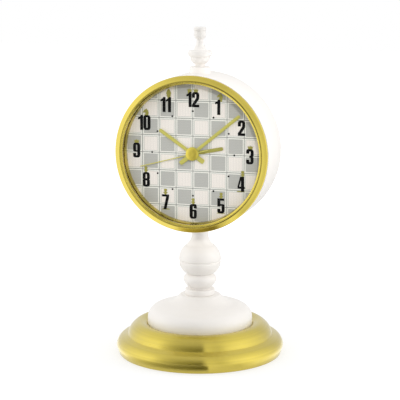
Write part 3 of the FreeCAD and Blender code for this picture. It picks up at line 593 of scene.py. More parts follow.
# Outline in shares of the width from the lip to the bezel's edge, and of the height over the drum's front.
BEZEL_SHARES = (
    (1.0, 0.0), (1.0, 0.4), ((0.975, 0.49), (0.9, 0.57)), (0.45, 0.925), ((0.39, 0.965), (0.33, 0.985)),
    ((0.26, 0.99), (0.21, 0.93)), (0.18, 0.81), (0.0, 0.72),
)
TURNED_STAND = {
    "base_dome": DOME_SHARES,
    "stem_collar": COLLAR_SHARES,
    "stem_bead": BEAD_SHARES,
    "stem_bulb": BULB_SHARES,
    "stem_neck": NECK_SHARES,
    "finial": FINIAL_SHARES,
}


class CLOCK_OT_base_ring(bpy.types.Operator):
    """Turned brass ring under the dome"""
    bl_idname = "clock.base_ring"
    bl_label = "Base ring"

    def execute(self, context):
        metal = context.scene.clock_metal
        radius, low, high = radius_and_levels("base_ring")
        outline = traced(BASE_RING_SHARES, radius, low, high - low)
        brass = brushed_brass("brushed_brass_base", metal.brass, metal.brush_pitch, metal.roughness, True)
        add_piece("turned_base_ring", turned_mesh("turned_base_ring", outline), brass,
                  replaced=("base_ring",))
        return {"FINISHED"}


class CLOCK_OT_painted_stand(bpy.types.Operator):
    """White dome, stem pieces and finial"""
    bl_idname = "clock.painted_stand"
    bl_label = "Painted stand"

    def execute(self, context):
        paint = context.scene.clock_paint
        white = satin_paint("satin_white_stand", paint.white, paint.grain)
        for node, shares in TURNED_STAND.items():
            radius, low, high = radius_and_levels(node)
            outline = traced(shares, radius, low, high - low)
            name = "turned_" + node
            add_piece(name, turned_mesh(name, outline), white, replaced=(node,))
        dress(white, "finial_base")
        return {"FINISHED"}


class CLOCK_OT_case(bpy.types.Operator):
    """White drum, brass bezel and inner ring, and clear lens"""
    bl_idname = "clock.case"
    bl_label = "Case"

    drum_wall: length_property("Drum wall", "Thickness of the drum's wall", 0.002)
    back_edge: length_property("Back edge", "Rounding of the drum's back edge", 0.0024)
    lip_r: length_property("Lip radius", "Radius of the bezel's opening", 0.053)
    skirt_inset: length_property("Skirt inset", "Distance of the bezel's skirt from the drum's outside", 0.0021)
    skirt_wall: length_property("Skirt wall", "Thickness of the bezel's skirt", 0.0018)
    ring_back_r: length_property("Ring back radius", "Inner radius of the dial ring at the dial", 0.052)
    ring_front_r: length_property("Ring front radius", "Inner radius of the dial ring at the lens", 0.0528)

    def execute(self, context):
        paint = context.scene.clock_paint
        metal = context.scene.clock_metal
        white = satin_paint("satin_white_case", paint.white, paint.grain)
        self.turn("painted_drum", "case_drum", self.drum_outline(), white, "white_paint", EDGE_BEVEL)
        roughness = metal.roughness * BEZEL_ROUGHNESS_SHARE
        brass = brushed_brass("brushed_brass_bezel", metal.brass, metal.brush_pitch, roughness, False)
        self.turn("turned_bezel", "bezel", self.bezel_outline(), brass, "brass", BEZEL_BEVEL)
        self.turn("turned_dial_ring", "dial_ring", self.ring_outline(), brass, "brass", RING_BEVEL)
        dress(clear_lens("clear_lens"), "lens")
        return {"FINISHED"}

    def turn(self, name, node, outline, material, slot, bevel):
        """Turns one piece about the dial's axis in place of a node."""
        add_piece(name, turned_mesh(name, outline, about_dial, bevel), material, replaced=(node,))

    def drum_outline(self):
        """Drum's wall with a rounded back edge, from its front to the cover's seat."""
        radius = (DRUM_HIGH[0] - DRUM_LOW[0]) / 2
        front, back = DRUM_LOW[1], DRUM_HIGH[1]
        cover_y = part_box("back_cover")[0][1]
        inner = radius - self.drum_wall
        bend = self.back_edge * (1 - math.sqrt(0.5))
        outline = [(inner, front), (radius, front), (radius, back - self.back_edge)]
        outline += arc(outline[-1], (radius - bend, back - bend), (radius - self.back_edge, back))
        return outline + [(inner, back), (inner, cover_y)]

    def bezel_outline(self):
        """Bezel with a straight outer slope, a rounded crest and a fine step inside it, and its skirt."""
        low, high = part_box("bezel")
        radius = (high[0] - low[0]) / 2
        seat = DRUM_LOW[1]
        lens_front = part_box("lens")[0][1]
        skirt = (DRUM_HIGH[0] - DRUM_LOW[0]) / 2 - self.skirt_inset
        skirt_inner = skirt - self.skirt_wall
        outline = traced(BEZEL_SHARES, radius - self.lip_r, seat, low[1] - seat, self.lip_r)
        return outline + [(self.lip_r, lens_front), (skirt_inner, lens_front), (skirt_inner, high[1]),
                          (skirt, high[1]), (skirt, seat)]

    def ring_outline(self):
        """Ring behind the lens, whose inner face widens a little towards it."""
        low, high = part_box("dial_ring")
        outer = (high[0] - low[0]) / 2
        return [(self.ring_back_r, high[1]), (self.ring_front_r, low[1]), (outer, low[1]), (outer, high[1])]


def rounded(corners, steps=5):
    """Outline from corners (x, y, rounding radius)."""
    points = []
    count = len(corners)
    for index, (x, y, radius) in enumerate(corners):
        if not radius:
            points.append((x, y))
            continue
        here = Vector((x, y))
        before = Vector(corners[index - 1][:2]) - here
        after = Vector(corners[(index + 1) % count][:2]) - here
        half = before.angle(after) / 2
        reach = min(radius / math.tan(half), before.length * ROUNDING_SHARE, after.length * ROUNDING_SHARE)
        start = here + before.normalized() * reach
        end = here + after.normalized() * reach
        for step in range(steps + 1):
            share = step / steps
            point = start * (1 - share) ** 2 + here * 2 * share * (1 - share) + end * share ** 2
            points.append((point.x, point.y))
    return points


# Corners of heavy condensed digits from the lower left: shares of the width and of the height, and the corner's
# rounding as a share of the width. A 9 is a 6 turned over.
DIGITS = {
    "0": (
        ((0, 0, 0.42), (1, 0, 0.42), (1, 1, 0.42), (0, 1, 0.42)),
        ((0.42, 0.15, 0.1), (0.58, 0.15, 0.1), (0.58, 0.85, 0.1), (0.42, 0.85, 0.1)),
    ),
    "1": (
        ((0.3, 0, 0), (0.72, 0, 0), (0.72, 1, 0), (0.405, 1, 0), (0.3, 0.9, 0), (0, 0.82, 0), (0, 0.69, 0),
         (0.3, 0.73, 0)),
    ),
    "2": (
        ((0, 0.62, 0), (0, 1, 0.42), (1, 1, 0.42), (1, 0.56, 0.42), (0.462, 0.1725, 0), (1, 0.1725, 0), (1, 0, 0),
         (0, 0, 0), (0, 0.165, 0), (0.58, 0.6, 0.42), (0.58, 0.85, 0.1), (0.42, 0.85, 0.1), (0.42, 0.62, 0)),
    ),
    "3": (
        ((0, 0.7, 0), (0, 1, 0.42), (1, 1, 0.42), (1, 0.55, 0.1), (0.9, 0.5, 0), (1, 0.45, 0.1), (1, 0, 0.42),
         (0, 0, 0.42), (0, 0.3, 0), (0.42, 0.3, 0), (0.42, 0.15, 0.1), (0.58, 0.15, 0.1), (0.58, 0.425, 0.1),
         (0.42, 0.425, 0), (0.42, 0.575, 0), (0.58, 0.575, 0.1), (0.58, 0.85, 0.1), (0.42, 0.85, 0.1),
         (0.42, 0.7, 0)),
    ),
    "4": (
        ((0.46, 0, 0), (0.88, 0, 0), (0.88, 0.2, 0), (1, 0.2, 0), (1, 0.34, 0), (0.88, 0.34, 0), (0.88, 1, 0),
         (0.334, 1, 0), (0, 0.36, 0), (0, 0.2, 0), (0.46, 0.2, 0)),
        ((0.46, 0.34, 0), (0.46, 0.76, 0), (0.22, 0.34, 0)),
    ),
    "5": (
        ((0, 1, 0), (0.94, 1, 0), (0.94, 0.85, 0), (0.42, 0.85, 0), (0.42, 0.63, 0), (1, 0.63, 0.42), (1, 0, 0.42),
         (0, 0, 0.42), (0, 0.3, 0), (0.42, 0.3, 0), (0.42, 0.15, 0.1), (0.58, 0.15, 0.1), (0.58, 0.5, 0.1),
         (0.42, 0.5, 0.1), (0.42, 0.46, 0), (0, 0.46, 0)),
    ),
    "6": (
        ((0, 0, 0.42), (1, 0, 0.42), (1, 0.62, 0.42), (0.42, 0.62, 0), (0.42, 0.85, 0.1), (0.58, 0.85, 0.1),
         (0.58, 0.7, 0), (1, 0.7, 0), (1, 1, 0.42), (0, 1, 0.42)),
        ((0.42, 0.15, 0.1), (0.58, 0.15, 0.1), (0.58, 0.51, 0.1), (0.42, 0.51, 0.1)),
    ),
    "7": (
        ((0, 1, 0), (1, 1, 0), (1, 0.84, 0), (0.62, 0, 0), (0.22, 0, 0), (0.58, 0.85, 0), (0, 0.85, 0)),
    ),
    "8": (
        ((0, 0, 0.42), (1, 0, 0.42), (1, 0.45, 0.1), (0.9, 0.5, 0), (1, 0.55, 0.1), (1, 1, 0.42), (0, 1, 0.42),
         (0, 0.55, 0.1), (0.1, 0.5, 0), (0, 0.45, 0.1)),
        ((0.42, 0.15, 0.1), (0.58, 0.15, 0.1), (0.58, 0.4325, 0.1), (0.42, 0.4325, 0.1)),
        ((0.42, 0.5675, 0.1), (0.58, 0.5675, 0.1), (0.58, 0.85, 0.1), (0.42, 0.85, 0.1)),
    ),
}


def digit_outlines(digit, width, height):
    """Outlines of a digit as corners (x, y, rounding radius), from its lower left."""
    outlines = [[(x * width, y * height, radius * width) for x, y, radius in outline]
                for outline in DIGITS["6" if digit == "9" else digit]]
    if digit == "9":
        return [[(width - x, height - y, radius) for x, y, radius in outline] for outline in outlines]
    return outlines


def evaluated_mesh(name, holder):
    """Plain mesh of an object as its modifiers or its curve make it."""
    depsgraph = bpy.context.evaluated_depsgraph_get()
    mesh = bpy.data.meshes.new_from_object(holder.evaluated_get(depsgraph))
    mesh.name = name
    return mesh


def flat_piece(name, outlines, depth):
    """Mesh of filled outlines on the dial, raised over its face towards -Y."""
    curve = bpy.data.curves.new(name, "CURVE")
    curve.dimensions = "2D"
    curve.fill_mode = "BOTH"
    curve.extrude = depth / 2
    for outline in outlines:
        spline = curve.splines.new("POLY")
        spline.points.add(len(outline) - 1)
        for point, (x, z) in zip(spline.points, outline):
            point.co = (x, z, 0.0, 1.0)
        spline.use_cyclic_u = True
    holder = linked(name, curve)
    mesh = evaluated_mesh(name, holder)
    bpy.data.objects.remove(holder)
    bpy.data.curves.remove(curve)
    stand = Matrix.Translation((0, DIAL_FACE_Y - depth / 2, DIAL_Z)) @ Matrix.Rotation(math.pi / 2, 4, "X")
    mesh.transform(stand)
    return mesh


# Middle of each numeral from the dial's middle.
NUMERALS_MM = {
    "12": (0.0, 40.7),
    "1": (19.0, 35.5),
    "2": (37.5, 20.5),
    "3": (44.0, -0.5),
    "4": (37.5, -21.5),
    "5": (21.9, -38.7),
    "6": (0.2, -44.0),
    "7": (-21.6, -37.7),
    "8": (-36.8, -21.2),
    "9": (-44.3, 1.0),
    "10": (-38.1, 22.2),
    "11": (-21.3, 36.3),
}
NARROW_DIGIT_SHARE = 0.66
DIGIT_GAP_SHARE = 0.09
DOT_CORNERS = 20


class CLOCK_OT_dial(bpy.types.Operator):
    """Chequered print with numerals and hour dots"""
    bl_idname = "clock.dial"
    bl_label = "Dial"

    def execute(self, context):
        dial = context.scene.clock_dial
        dress(chequered_print("chequered_dial", dial), "dial_plate")
        ink = printed_ink("numeral_ink", dial.ink)
        numerals = []
        for text, (x, z) in NUMERALS_MM.items():
            numerals += self.numeral(text, x * MM, z * MM, dial)
        add_piece("numerals", flat_piece("numerals", numerals, dial.relief), ink)
        dots = [self.dot(hour, dial) for hour in range(12)]
        add_piece("hour_dots", flat_piece("hour_dots", dots, dial.relief), ink)
        return {"FINISHED"}

    def dot(self, hour, dial):
        """Outline of one hour's round dot."""
        angle = FULL_TURN * hour / 12
        x, z = dial.dot_ring * math.sin(angle), dial.dot_ring * math.cos(angle)
        turns = [FULL_TURN * corner / DOT_CORNERS for corner in range(DOT_CORNERS)]
        return [(x + dial.dot_r * math.cos(turn), z + dial.dot_r * math.sin(turn)) for turn in turns]

    def numeral(self, text, x, z, dial):
        """Outlines of one numeral, centred on a place."""
        widths = [dial.numeral_w * (NARROW_DIGIT_SHARE if digit == "1" else 1.0) for digit in text]
        gap = dial.numeral_w * DIGIT_GAP_SHARE
        left = x - (sum(widths) + gap * (len(text) - 1)) / 2
        low = z - dial.numeral_h / 2
        outlines = []
        for digit, width in zip(text, widths):
            for outline in digit_outlines(digit, dial.numeral_w, dial.numeral_h):
                outlines.append([(left + px, low + pz) for px, pz in rounded(outline)])
            left += width + gap
        return outlines


# Shapes in millimetres from the middle of a numeral's top, or of its foot for FOOT. A half is mirrored.
PAWN_HALF = ((0.7, -1.6), (0.75, 0.4), (1.2, 1.0), (1.75, 1.3), (1.75, 1.7), (0.8, 1.95), (0.75, 2.4),
             (1.2, 2.9), (1.3, 3.5), (1.05, 4.1), (0.5, 4.4))
CROWN_HALF = ((1.4, -1.6), (1.5, 0.5), (2.2, 2.3), (1.35, 1.5), (1.1, 2.7), (0.55, 1.6), (0.0, 2.9))
MITRE_HALF = ((0.9, -1.6), (1.0, 0.3), (1.9, 0.6), (1.9, 1.1), (1.3, 1.3), (2.0, 2.4), (1.8, 3.7), (1.0, 5.2),
              (0.35, 6.2))
HORSE = ((1.6, -1.6), (2.0, 0.4), (2.2, 2.0), (1.8, 3.6), (0.8, 4.5), (0.5, 5.1), (0.1, 4.6), (-1.1, 4.0),
         (-2.3, 2.5), (-2.2, 1.6), (-1.0, 1.9), (-0.3, 1.6), (-1.0, 0.2), (-1.2, -1.6))
FOOT = ((-3.1, 0.0), (3.1, 0.0), (3.0, 0.45), (1.9, 0.8), (-1.9, 0.8), (-3.0, 0.45))
FOOT_DROP = 0.2
# Numeral, shape, shift to the right in millimetres, and share of the shape's width.
FIGURES = (
    ("12", CROWN_HALF, -2.5, 1.0),
    ("12", CROWN_HALF, 2.4, 1.0),
    ("1", HORSE, 1.9, 1.0),
    ("3", CROWN_HALF, 0.2, 1.1),
    ("4", PAWN_HALF, 1.0, 1.0),
    ("5", PAWN_HALF, 0.1, 1.0),
    ("6", PAWN_HALF, 0.0, 1.0),
    ("7", PAWN_HALF, 0.0, 1.0),
    ("8", PAWN_HALF, -0.2, 1.0),
    ("9", CROWN_HALF, 0.0, 1.1),
    ("10", HORSE, 1.3, 1.0),
    ("11", MITRE_HALF, 2.5, 1.0),
)
# Numeral and shift to the right in millimetres.
FEET = (("4", -0.4), ("5", -0.2), ("7", 0.4))


class CLOCK_OT_figures(bpy.types.Operator):
    """Gilt board-game figures that look out over the numerals"""
    bl_idname = "clock.figures"
    bl_label = "Dial figures"

    def execute(self, context):
        dial = context.scene.clock_dial
        metal = context.scene.clock_metal
        gilt = gilt_metal("gilt_print", shade(metal.gilt, 0.62), roughness=0.42, metallic=0.4)
        half = dial.numeral_h / MM / 2
        for index, (text, shape, shift, width) in enumerate(FIGURES):
            points = shape if shape is HORSE else shape + tuple((-px, pz) for px, pz in reversed(shape))
            points = [(px * width, pz) for px, pz in points]
            self.printed("dial_figure_%02d" % (index + 1), text, shift, half, points, dial.relief, gilt)
        for index, (text, shift) in enumerate(FEET):
            name = "figure_foot_%02d" % (index + 1)
            self.printed(name, text, shift, -half - FOOT_DROP, FOOT, dial.relief, gilt)
        return {"FINISHED"}

    def printed(self, name, text, shift, lift, points, relief, gilt):
        """One gilt shape beside a numeral, under its ink."""
        x, z = NUMERALS_MM[text]
        outline = [((x + shift + px) * MM, (z + lift + pz) * MM) for px, pz in points]
        add_piece(name, flat_piece(name, [outline], relief / 2), gilt)


HAND_T = 0.3 * MM
BOSS_RISE = 0.05 * MM
BOSS_FACE_SHARE = 0.86
TAIL_END_SHARE = 0.7
TIP_SHARE = 0.72
CAP_R = 4.8 * MM
CAP_SHOULDER_R = 3.7 * MM
CAP_SHOULDER_H = 0.42 * MM
# Hand, its body, angle in degrees, then length, tail, boss radius and bore radius in millimetres.
HANDS = (
    ("alarm_hand", "alarm_hand_group", 78.5, (24.0, 0.0, 4.4, 2.25)),
    ("hour_hand", "hour_hand_group", 304.25, (30.9, 10.7, 5.2, 1.65)),
    ("minute_hand", "minute_hand_group", 50.8, (47.2, 12.1, 4.8, 1.05)),
    ("second_hand", "second_hand_group", 255.0, (42.0, 13.0, 4.0, 0.55)),
)


def hand_mesh(name, node, width, angle, sizes, rim_share, tail_share):
    """Straight hand with a ridge along its middle, a tail that can be broader, and a round boss."""
    length, tail, boss, bore = [size * MM for size in sizes]
    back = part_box(node)[1][1]
    front = back - HAND_T
    rim = back - HAND_T * rim_share
    turn = math.radians(angle)
    along = Vector((math.sin(turn), 0, math.cos(turn)))
    side = Vector((math.cos(turn), 0, -math.sin(turn)))
    middle = Vector((0, 0, DIAL_Z))
    tail_taper, tip_taper = width * 0.4, width * 0.35
    stations = ((-tail, tail_share * TAIL_END_SHARE), (tail_taper - tail, tail_share), (0.0, tail_share),
                (boss, 1.0), (length - tip_taper, 1.0), (length, TIP_SHARE))
    work = bmesh.new()
    rows = []
    for reach, share in stations:
        half = width / 2 * share
        row = []
        for across, depth in ((-half, back), (-half, rim), (0.0, front), (half, rim), (half, back)):
            place = middle + along * reach + side * across
            row.append(work.verts.new((place.x, depth, place.z)))
        rows.append(row)
    for first, second in zip(rows, rows[1:]):
        for index in range(len(first)):
            following = (index + 1) % len(first)
            work.faces.new((first[index], first[following], second[following], second[index]))
    work.faces.new(rows[0])
    work.faces.new(list(reversed(rows[-1])))
    face = front - BOSS_RISE
    section = [(bore, back), (bore, face), (boss * BOSS_FACE_SHARE, face), (boss, rim), (boss, back)]
    boss_mesh = turned_mesh(name + "_boss", section, about_dial, BOSS_BEVEL)
    work.from_mesh(boss_mesh)
    bpy.data.meshes.remove(boss_mesh)
    bmesh.ops.recalc_face_normals(work, faces=work.faces)
    mesh = meshed(name, work)
    soften(mesh, 0, sharp=0.25)
    return mesh


class CLOCK_OT_hands(bpy.types.Operator):
    """Alarm, hour, minute and second hands"""
    bl_idname = "clock.hands"
    bl_label = "Hands"

    def execute(self, context):
        hands = context.scene.clock_hands
        metal = context.scene.clock_metal
        gilt = gilt_metal("gilt_hands", metal.gilt, roughness=0.34, metallic=0.35)
        dull = gilt_metal("gilt_alarm_hand", shade(metal.gilt, 0.72), roughness=0.4, metallic=0.35)
        widths = (hands.alarm_w, hands.hour_w, hands.minute_w, hands.second_w)
        for (node, body, angle, sizes), width in zip(HANDS, widths):
            name = "ridged_" + node
            tail_share = 1.0 if node == "second_hand" else hands.tail_share
            mesh = hand_mesh(name, node, width, angle, sizes, hands.rim_share, tail_share)
            add_piece(name, mesh, dull if node == "alarm_hand" else gilt, body, (node,))
        self.cap(metal.cap)
        return {"FINISHED"}

    def cap(self, color):
        """Domed cap over the middle of the second hand, as far forward as the hand's box."""
        low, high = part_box("second_hand")
        seat = high[1] - HAND_T
        bright = gilt_metal("gilt_cap", color, roughness=0.32, metallic=0.6)
        outline = [(0.0, seat), (CAP_R, seat)]
        outline += arc(outline[-1], (CAP_SHOULDER_R, seat - CAP_SHOULDER_H), (0.0, low[1]))
        mesh = turned_mesh("hand_cap", outline, about_dial, 0)
        add_piece("hand_cap", mesh, bright, "second_hand_group")


class CLOCK_OT_back(bpy.types.Operator):
    """Back cover, clockwork case, knobs, slider, door and screws"""
    bl_idname = "clock.back"
    bl_label = "Back"

    cover_screw: FloatVectorProperty(name="Cover screw", description="Shank radius, head radius and head height",
                                     default=(0.001, 0.0024, 0.0014), unit="LENGTH", precision=5)
    case_screw: FloatVectorProperty(name="Case screw", description="Shank radius, head radius and head height",
                                    default=(0.0009, 0.0019, 0.0012), unit="LENGTH", precision=5)

    def execute(self, context):
        dress(dull_surface("white_moulding", (232, 230, 226)), "back_cover", "dial_frame", "alarm_switch")
        dress(dull_surface("grey_moulding", (84, 86, 90)), "movement_front_case", "movement_rear_case",
              "movement_middle_plate", "train_bridge", "battery_door", "time_set_knob", "alarm_set_knob")
        steel = plated_steel("plated_steel")
        self.screws("back_cover_screws", self.cover_screw, steel)
        self.screws("movement_case_screws", self.case_screw, steel)
        dress(steel, "movement_mount_screws", "tie_rod", "tie_rod_nuts", "tie_rod_washers", "finial_stud",
              "finial_nut", "stator", "quartz_crystal", "battery_contact_plus", "battery_contact_minus")
        return {"FINISHED"}

    def screws(self, node, sizes, steel):
        """Slotted screws in place of a node's four plain ones, set at the corners of its box."""
        shank_r, head_r, head_h = sizes
        low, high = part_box(node)
        seat = high[1] - head_h
        spots = [(x, seat, z) for x in (low[0] + head_r, high[0] - head_r)
                 for z in (low[2] + head_r, high[2] - head_r)]
        name = "slotted_" + node
        outline = screw_outline(head_r, head_h, shank_r, seat - low[1])
        screw = revolved(name + "_one", outline, SCREW_STEPS, about_screw, FINE_MERGE)
        slot = slot_mesh(name + "_slot", head_r, head_h)
        add_piece(name, scattered(name, spots, screw, slot, steel), steel, replaced=(node,))


# Shares of the shank's radius, of the head's radius and of the head's height.
POINT_SHARE = 0.4
NECK_SHARE = 0.9
THREAD_PITCH_SHARE = 0.55
THREAD_ROOT_SHARE = 0.82
THREAD_RISE_SHARE = 0.28
HEAD_SHARES = ((1.0, 0.0), (1.0, 0.45), ((0.86, 0.86), (0.45, 1.0)), (0.0, 1.0))
SLOT_WIDTH_SHARE = 0.28
SLOT_DEPTH_SHARE = 0.5
SCREW_TURN = 0.9


def screw_outline(head_r, head_h, shank_r, shank_l):
    """Half section of a threaded pan-head screw from its point, with level 0 under the head."""
    start = shank_r - shank_l
    pitch = shank_r * THREAD_PITCH_SHARE
    outline = [(0.0, -shank_l), (shank_r * POINT_SHARE, -shank_l), (shank_r, start)]
    for thread in range(int((shank_l - shank_r) / pitch)):
        level = start + thread * pitch
        outline += [(shank_r * THREAD_ROOT_SHARE, level), (shank_r, level + shank_r * THREAD_RISE_SHARE)]
    outline.append((shank_r * NECK_SHARE, 0.0))
    return outline + traced(HEAD_SHARES, head_r, 0.0, head_h)


def about_screw(radius, level, angle):
    """Point of a screw that heads +Y from the origin."""
    return (radius * math.sin(angle), level, radius * math.cos(angle))


def slot_mesh(name, head_r, head_h):
    """Bar that cuts the slot across a screw's head."""
    across = head_r * 3
    size = Matrix.Diagonal((across, head_h * SLOT_DEPTH_SHARE * 2, head_r * SLOT_WIDTH_SHARE, 1.0))
    work = bmesh.new()
    bmesh.ops.create_cube(work, size=1.0, matrix=Matrix.Translation((0, head_h, 0)) @ size)
    return meshed(name, work)


def scattered(name, spots, screw, slot, material):
    """One plain mesh with the slotted screw on every spot, each turned by its own angle, by Geometry Nodes."""
    places = bpy.data.meshes.new(name + "_places")
    places.from_pydata(spots, [], [])
    sample = linked(name + "_sample", screw)
    cutter = linked(name + "_cutter", slot)
    holder = linked(name + "_holder", places)
    tree = bpy.data.node_groups.new(name + "_scatter", "GeometryNodeTree")
    tree.interface.new_socket("Places", in_out="INPUT", socket_type="NodeSocketGeometry")
    for label, kind in (("Screw", "NodeSocketObject"), ("Slot", "NodeSocketObject"),
                        ("Turn Step", "NodeSocketFloat"), ("Material", "NodeSocketMaterial")):
        tree.interface.new_socket(label, in_out="INPUT", socket_type=kind)
    tree.interface.new_socket("Screws", in_out="OUTPUT", socket_type="NodeSocketGeometry")

    def add(kind, links=None, **settings):
        made = tree.nodes.new(kind)
        for key, value in settings.items():
            setattr(made, key, value)
        for key, source in (links or {}).items():
            tree.links.new(source, made.inputs[key])
        return made

    entry = add("NodeGroupInput").outputs
    screw_info = add("GeometryNodeObjectInfo", {"Object": entry["Screw"]})
    slot_info = add("GeometryNodeObjectInfo", {"Object": entry["Slot"]})
    cut = add("GeometryNodeMeshBoolean", {"Mesh 1": screw_info.outputs["Geometry"],
                                          "Mesh 2": slot_info.outputs["Geometry"]},
              operation="DIFFERENCE", solver="EXACT")
    turned = add("ShaderNodeMath", {0: add("GeometryNodeInputIndex").outputs[0], 1: entry["Turn Step"]},
                 operation="MULTIPLY")
    turn = add("ShaderNodeCombineXYZ", {1: turned.outputs[0]})
    placed = add("GeometryNodeInstanceOnPoints", {"Points": entry["Places"], "Instance": cut.outputs["Mesh"],
                                                  "Rotation": turn.outputs[0]})
    real = add("GeometryNodeRealizeInstances", {"Geometry": placed.outputs["Instances"]})
    painted = add("GeometryNodeSetMaterial", {"Geometry": real.outputs["Geometry"], "Material": entry["Material"]})
    add("NodeGroupOutput", {"Screws": painted.outputs["Geometry"]})
    modifier = holder.modifiers.new("Scatter", "NODES")
    modifier.node_group = tree
    values = {"Screw": sample, "Slot": cutter, "Turn Step": SCREW_TURN, "Material": material}
    for item in tree.interface.items_tree:
        if item.in_out == "INPUT" and item.name in values:
            modifier[item.identifier] = values[item.name]
    holder.update_tag()
    mesh = evaluated_mesh(name, holder)
    holder.modifiers.clear()
    for item in (holder, sample, cutter):
        bpy.data.objects.remove(item)
    for item in (places, screw, slot):
        bpy.data.meshes.remove(item)
    bpy.data.node_groups.remove(tree)
    soften(mesh, 0, sharp=0.7)
    return mesh


class CLOCK_OT_inner_works(bpy.types.Operator):
    """Pieces inside the case and the base"""
    bl_idname = "clock.inner_works"
    bl_label = "Inner works"

    def execute(self, context):
        metal = context.scene.clock_metal
        dress(felt("wool_felt"), "base_pad")
        iron = dull_surface("cast_iron_weight", (60, 60, 62), roughness=0.7, grain_size=0.0012, depth=0.0001)
        dress(iron, "base_ballast")
        dress(dull_surface("acetal_wheels", (232, 229, 218), 0.35), "alarm_wheel", "alarm_set_gear",
              "hour_wheel", "minute_pinion", "minute_wheel", "centre_wheel", "third_wheel", "seconds_wheel",
              "step_wheel", "rotor")
        dress(wound_wire("wound_copper"), "coil")
        dress(dull_surface("green_board", (44, 92, 58), 0.4), "circuit_board")
        dress(dull_surface("cell_sleeve", (52, 60, 84), 0.3), "battery")
        dress(gilt_metal("sounder_brass", metal.brass, 0.35), "sounder")
        return {"FINISHED"}


CAMERA_PLACE = (0.29670, -1.04255, 0.31803)
CAMERA_TURN = 15.886
CAMERA_PITCH = 10.374
SENSOR_WIDTH = 36.0
LAMP_DISTANCE = 1.2
LAMP_HEIGHT = 0.3
LAMP_AIM = (0.0, 0.0, 0.12)
RIGHT_LAMP_AZIMUTH = 95.0
LEFT_LAMP_AZIMUTH = -80.0
DIAL_SPOT_AZIMUTH = 24.0
DIAL_SPOT_HEIGHT = 0.7
# Radius of the spot's circle at the lamps' distance.
DIAL_SPOT_REACH = 0.062
DIAL_SPOT_BLEND = 0.25
DIAL_SPOT_SOFT_SIZE = 0.035
# Distances from the stand's axis over which the floor brightens to white.
FLOOR_FADE = (0.1, 0.5)
# Level of the ring of cards high over the clock, and on the floor close to the base.
RING_TOP_LEVEL = 0.5
RING_FLOOR_LEVEL = 0.72
RING_STEPS = 72
# Heights between which the ring's level fades to the one at its top.
RING_FADE = (0.75, 2.0)
# Distances from the stand's axis between which the level on the floor comes in, and goes out again.
RING_FLOOR_START = (0.08, 0.09)
RING_FLOOR_END = (0.11, 0.125)
# The ring leans in at its top: shares of its distance and of its height.
CROWN_SHARES = (0.25, 1.3)
OVERHEAD_SHARE = 1.31
OVERHEAD_HALF = 0.4
CARD_GAIN = 2.0
# Azimuth in degrees and level of the ring of cards there.
CARD_LEVELS = (
    (-180.0, 0.42),
    (-128.0, 0.48),
    (-95.0, 0.66),
    (-56.0, 0.84),
    (-42.0, 0.5),
    (-28.0, 0.29),
    (-12.0, 0.14),
    (2.0, 0.06),
    (21.5, 0.0),
    (22.5, 0.55),
    (46.0, 0.42),
    (62.0, 0.74),
    (88.0, 0.84),
    (113.0, 0.66),
    (152.0, 0.42),
    (180.0, 0.42),
)


